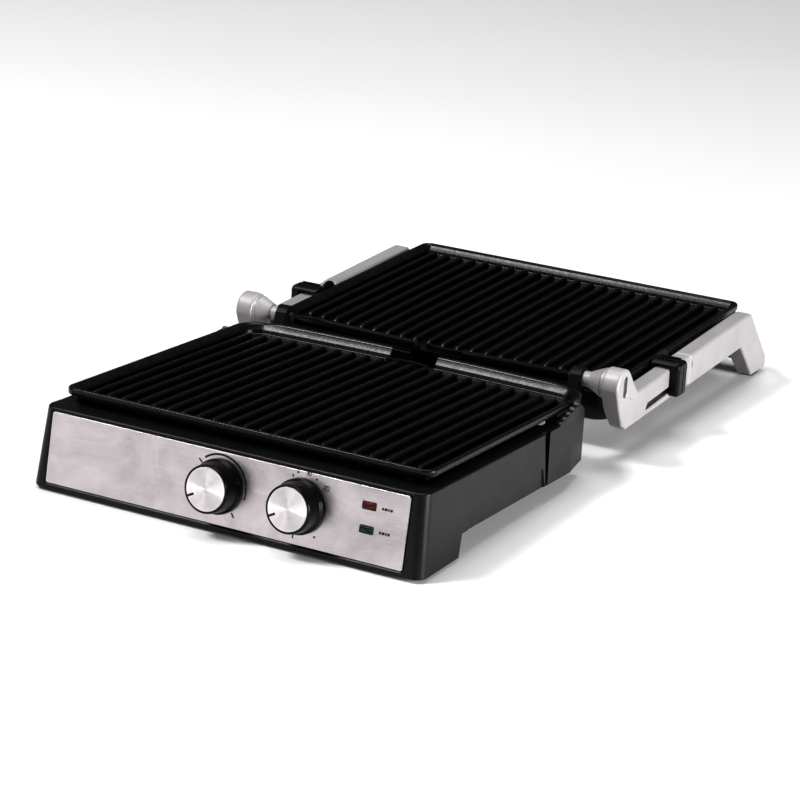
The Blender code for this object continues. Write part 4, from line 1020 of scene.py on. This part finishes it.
def bracket(side, sign):
    """Saddle over the bar with two deck ridges, rounded cheeks and an arched boss by the plate."""
    front, back = BRACKET_Y, BRACKET_Y + BRACKET_LENGTH
    low_z, top_z, inner = 30.0, 56.6, HOUSING_HALF_X + 0.3
    profile = fillet(rectangle(front, low_z, back, top_z), 4.6, 6)
    body = raw(mirrored(pillow(profile, "X", inner, BRACKET_OUT, 2.9, 6), sign), "saddle_" + side)
    channel = block((ARM_IN - 0.8, front - 4, low_z - 6), (ARM_OUT + 0.8, back + 4, 53.6))
    boss = pillow(arc((110.0, 48.0), 11.5, 0, 345, 47), "X", inner, ARM_IN - 0.8, 0.7, 3)
    changes = [cut(mirrored(channel, sign)), add(mirrored(boss, sign))]
    for y in (front + 4.2, front + 11.6):
        ridge = soft_block((146.5, y, top_z - 1), (162.5, y + 1.6, top_z + 1.2), 0.45, 0.7)
        changes.append(add(mirrored(ridge, sign)))
    cheek_line = prism(rectangle(98.4, low_z - 2, 99.6, top_z - 4), "X", BRACKET_OUT - 0.5, BRACKET_OUT + 3)
    changes.append(cut(mirrored(cheek_line, sign)))
    changes.append(cut(block((-PLATE_HALF_X - 1.2, front - 5, 46.5), (PLATE_HALF_X + 1.2, back + 20, 70))))
    changes.append(cut(mirrored(prism(circle(HEAD_PIVOT, 2.9, 24), "X", 139, BRACKET_OUT - 2.0), sign)))
    piece(carve(body, changes), "upper_head", SHELL_BLACK, ["pivot_bracket_" + side], 36.0)


for hand, direction in SIDES:
    arm(hand, direction)
    leg_pad(hand, direction)
    bracket(hand, direction)
release_button()
grip()


# ---- upper housing ----


def lid_holes():
    """Cutters for the cover's four screws."""
    spots = [(x, y) for x in (100, -100) for y in (192, 34)]
    return [cut(prism(circle(spot, 1.9, 24), "Z", -40, -20), UPPER_FRAME) for spot in spots]


def upper_housing():
    """Lid shell with rolled lower edge, waist line, drain notch and screw holes."""
    top = RIM_TOP - 5.2 - 0.3
    stations = [(13.0, 6.0, 220.0, 14, -31.0), (11.0, 4.0, 222.0, 14, -30.85), (9.2, 2.2, 224.0, 14, -30.3)]
    stations += [(6.6, -0.4, 227.8, 14, -28.9), (4.3, -2.8, 230.6, 14, -27.2), (2.6, -5.6, 232.4, 14, -23.6)]
    stations += [(1.2, -8.6, 233.8, 14, -19.0), (0.6, -10.0, 234.5, 14, -16.0), (0.4, -13.0, 235.0, 11, -5.2)]
    stations += [(0.9, -12.6, 234.6, 11, -4.6), (0.9, -12.6, 234.6, 11, -4.0), (0.4, -13.2, 235.0, 10, -3.6)]
    stations += [(0.7, -13.0, 234.8, 10, top)]
    inside = [(13.0, 6.0, 220.0, 12, -28.4), (6.6, -0.4, 227.4, 12, -24.5)]
    inside += [(3.4, -7.2, 230.6, 5, -16.5), (3.0, -10.8, 232.0, 5, top + 4)]

    def bowl(rows, radius_back, steps):
        """Loft through rows of (inset from the side, front, back, front radius, height)."""
        sections = []
        for moved, front, back, radius, z in rows:
            sections.append((rounded_box(HOUSING_HALF_X - moved, front, back, radius, radius_back, steps), z))
        return levels("Z", sections)

    shell = raw(bowl(stations, 12, 8), "lid_shell", UPPER_FRAME)
    notch = prism(fillet(rectangle(-22, -20, 22, 6), 3.0, 4), "Y", 222, 240)
    hollow = bowl(inside, 10, 4)
    shell = carve(shell, [cut(hollow, UPPER_FRAME), cut(notch, UPPER_FRAME)] + lid_holes())
    piece(shell, "upper_head", SHELL_BLACK, ["upper_housing"], 30.0)


def lid_cover():
    """Brushed cover with rolled edges and screw holes."""
    stations = []
    for moved, z in ((0.0, -31.3), (0.0, -32.2), (0.25, -32.7), (0.75, -32.95), (1.3, -33.0)):
        stations.append((rounded_box(114 - moved, 20 + moved, 206 - moved, 10 - moved, 10 - moved, 8), z))
    cover = raw(levels("Z", stations), "lid_plate", UPPER_FRAME)
    piece(carve(cover, lid_holes()), "upper_head", COVER_STEEL, ["lid_cover"], 40.0)


upper_housing()
lid_cover()


# ---- feet, tray ----


def foot(name, x, y, radius, high):
    """Soft foot with a rounded rim and a dished underside."""
    profile = [(radius * 0.55, 0.25), (radius * 0.62, 0.05), (radius - 0.9, 0.0)]
    profile += [(radius - 0.25, 0.25), (radius, 0.8), (radius, high)]
    shape = raw(turned(profile, 48), name + "_soft", frame_matrix((x, y, 0)))
    piece(shape, "base", RUBBER, [name], 40.0)


def drip_tray():
    """Drawer with rounded corners and a deep basin at the back."""
    tray = raw(pillow(rounded_box(61.6, -122, -17.2, 4, 1.2, 5), "Z", 4.4, 10.6, 0.7, 3), "tray_pan")
    basin = pillow(rounded_box(61.6, -17.6, 20.0, 1.2, 4, 5), "Z", 4.4, 17.6, 0.9, 3)
    low, low_top = rounded_box(58.4, -118.8, -14.0, 3, 1, 5), rounded_box(59.6, -120, -14.0, 3.4, 1, 5)
    back, back_top = rounded_box(58.2, -14.2, 16.8, 1, 3, 5), rounded_box(59.6, -15.5, 18.0, 1, 3.4, 5)
    changes = [add(basin), cut(levels("Z", [(low, 6.2), (low_top, 7.6), (low_top, 14.0)]))]
    changes.append(cut(levels("Z", [(back, 6.2), (back_top, 8.0), (back_top, 24.0)])))
    piece(carve(tray, changes), "tray", SHELL_BLACK, ["drip_tray"], 36.0)


for hand, direction in SIDES:
    foot("front_foot_pad_" + hand, direction * 136.0, -250.0, 8.0, 1.7)
    foot("rear_foot_pad_" + hand, direction * 108.0, -58.0, 7.5, 1.9)
drip_tray()


# ---- nodes that keep their CAD shape ----

CARRIED = (
    (INNER_BLACK, "bottom_cover control_carrier"),
    (RUBBER, "cord_inlet_bush"),
    (LUG_BLACK, "hinge_lug_left hinge_lug_right"),
    (PIN_STEEL, "hinge_pin_left hinge_pin_right"),
    (SCREW_STEEL, "pivot_pin_left pivot_pin_right"),
    (IVORY, "lamp_holder terminal_block timer"),
    (HEATER, "lower_heater upper_heater lower_reflector upper_reflector thermostat"),
)
looks = {node_name: mat for mat, names in CARRIED for node_name in names.split()}
looks.update({node_name: SCREW_STEEL for node_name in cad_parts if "screw" in node_name})
for node_name, mat in looks.items():
    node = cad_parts[node_name]
    node.data.materials.clear()
    node.data.materials.append(mat)


# ---- floor, light, camera ----


def studio_floor():
    made = bmesh.new()
    bmesh.ops.create_grid(made, x_segments=8, y_segments=8, size=8000.0)
    floor = raw(made, "studio_floor")
    floor.location.z = -0.0002
    g = Graph("studio_floor")
    cloud = g.noise(1.4, 2.0)
    colour = g.drift(cloud, grey(0.9), grey(0.93))
    mat = g.done(colour, g.remap(cloud, 0.85, 0.95), specular=0.1)
    floor.data.materials.append(mat)
    floor.visible_diffuse = False


def softbox(name, place, target, size, power):
    """Rectangular light that the camera doesn't see."""
    light = bpy.data.lights.new(name, "AREA")
    light.shape = "RECTANGLE"
    light.size, light.size_y = size
    light.energy = power
    lamp = in_scene(name, light)
    lamp.location = place
    lamp.rotation_euler = (Vector(target) - Vector(place)).to_track_quat("-Z", "Y").to_euler()
    lamp.visible_camera = False


def camera():
    """Long lens from the front right, rolled by three degrees."""
    data = bpy.data.cameras.new("camera")
    data.sensor_width, data.lens, data.clip_end = 36.0, 126.7, 20.0
    eye = in_scene("camera", data)
    azimuth, elevation, roll = 27.61, 18.37, 3.16
    aimed = frame_matrix((901.6, -1755.2, 673.7), (90 - elevation, 0, azimuth))
    eye.matrix_world = aimed @ Matrix.Rotation(math.radians(roll), 4, "Z")
    scene.camera = eye


studio_floor()
softbox("overhead", (-0.3, 0.9, 4.4), (0, 0.3, 0), (2.4, 2.4), 95.0)
softbox("high_key", (-1.3, -1.1, 2.5), (0, 0, 0.05), (0.7, 0.7), 62.0)
softbox("key_left", (-2.2, -1.9, 1.5), (0, -0.1, 0.03), (1.4, 1.2), 11.0)
softbox("front_card", (-1.1, -2.6, 0.55), (0, -0.2, 0.03), (1.8, 0.9), 6.5)
softbox("right_fill", (1.6, -0.1, 0.28), (0.15, 0.08, 0.05), (0.8, 0.45), 40.0)
world = bpy.data.worlds.new("studio")
world.use_nodes = True
sky = world.node_tree.nodes["Background"].inputs
sky["Color"].default_value = (0.9, 0.93, 1.0, 1.0)
sky["Strength"].default_value = 0.1
scene.world = world
scene.view_settings.view_transform = "Standard"
scene.view_settings.gamma = 0.8
camera()
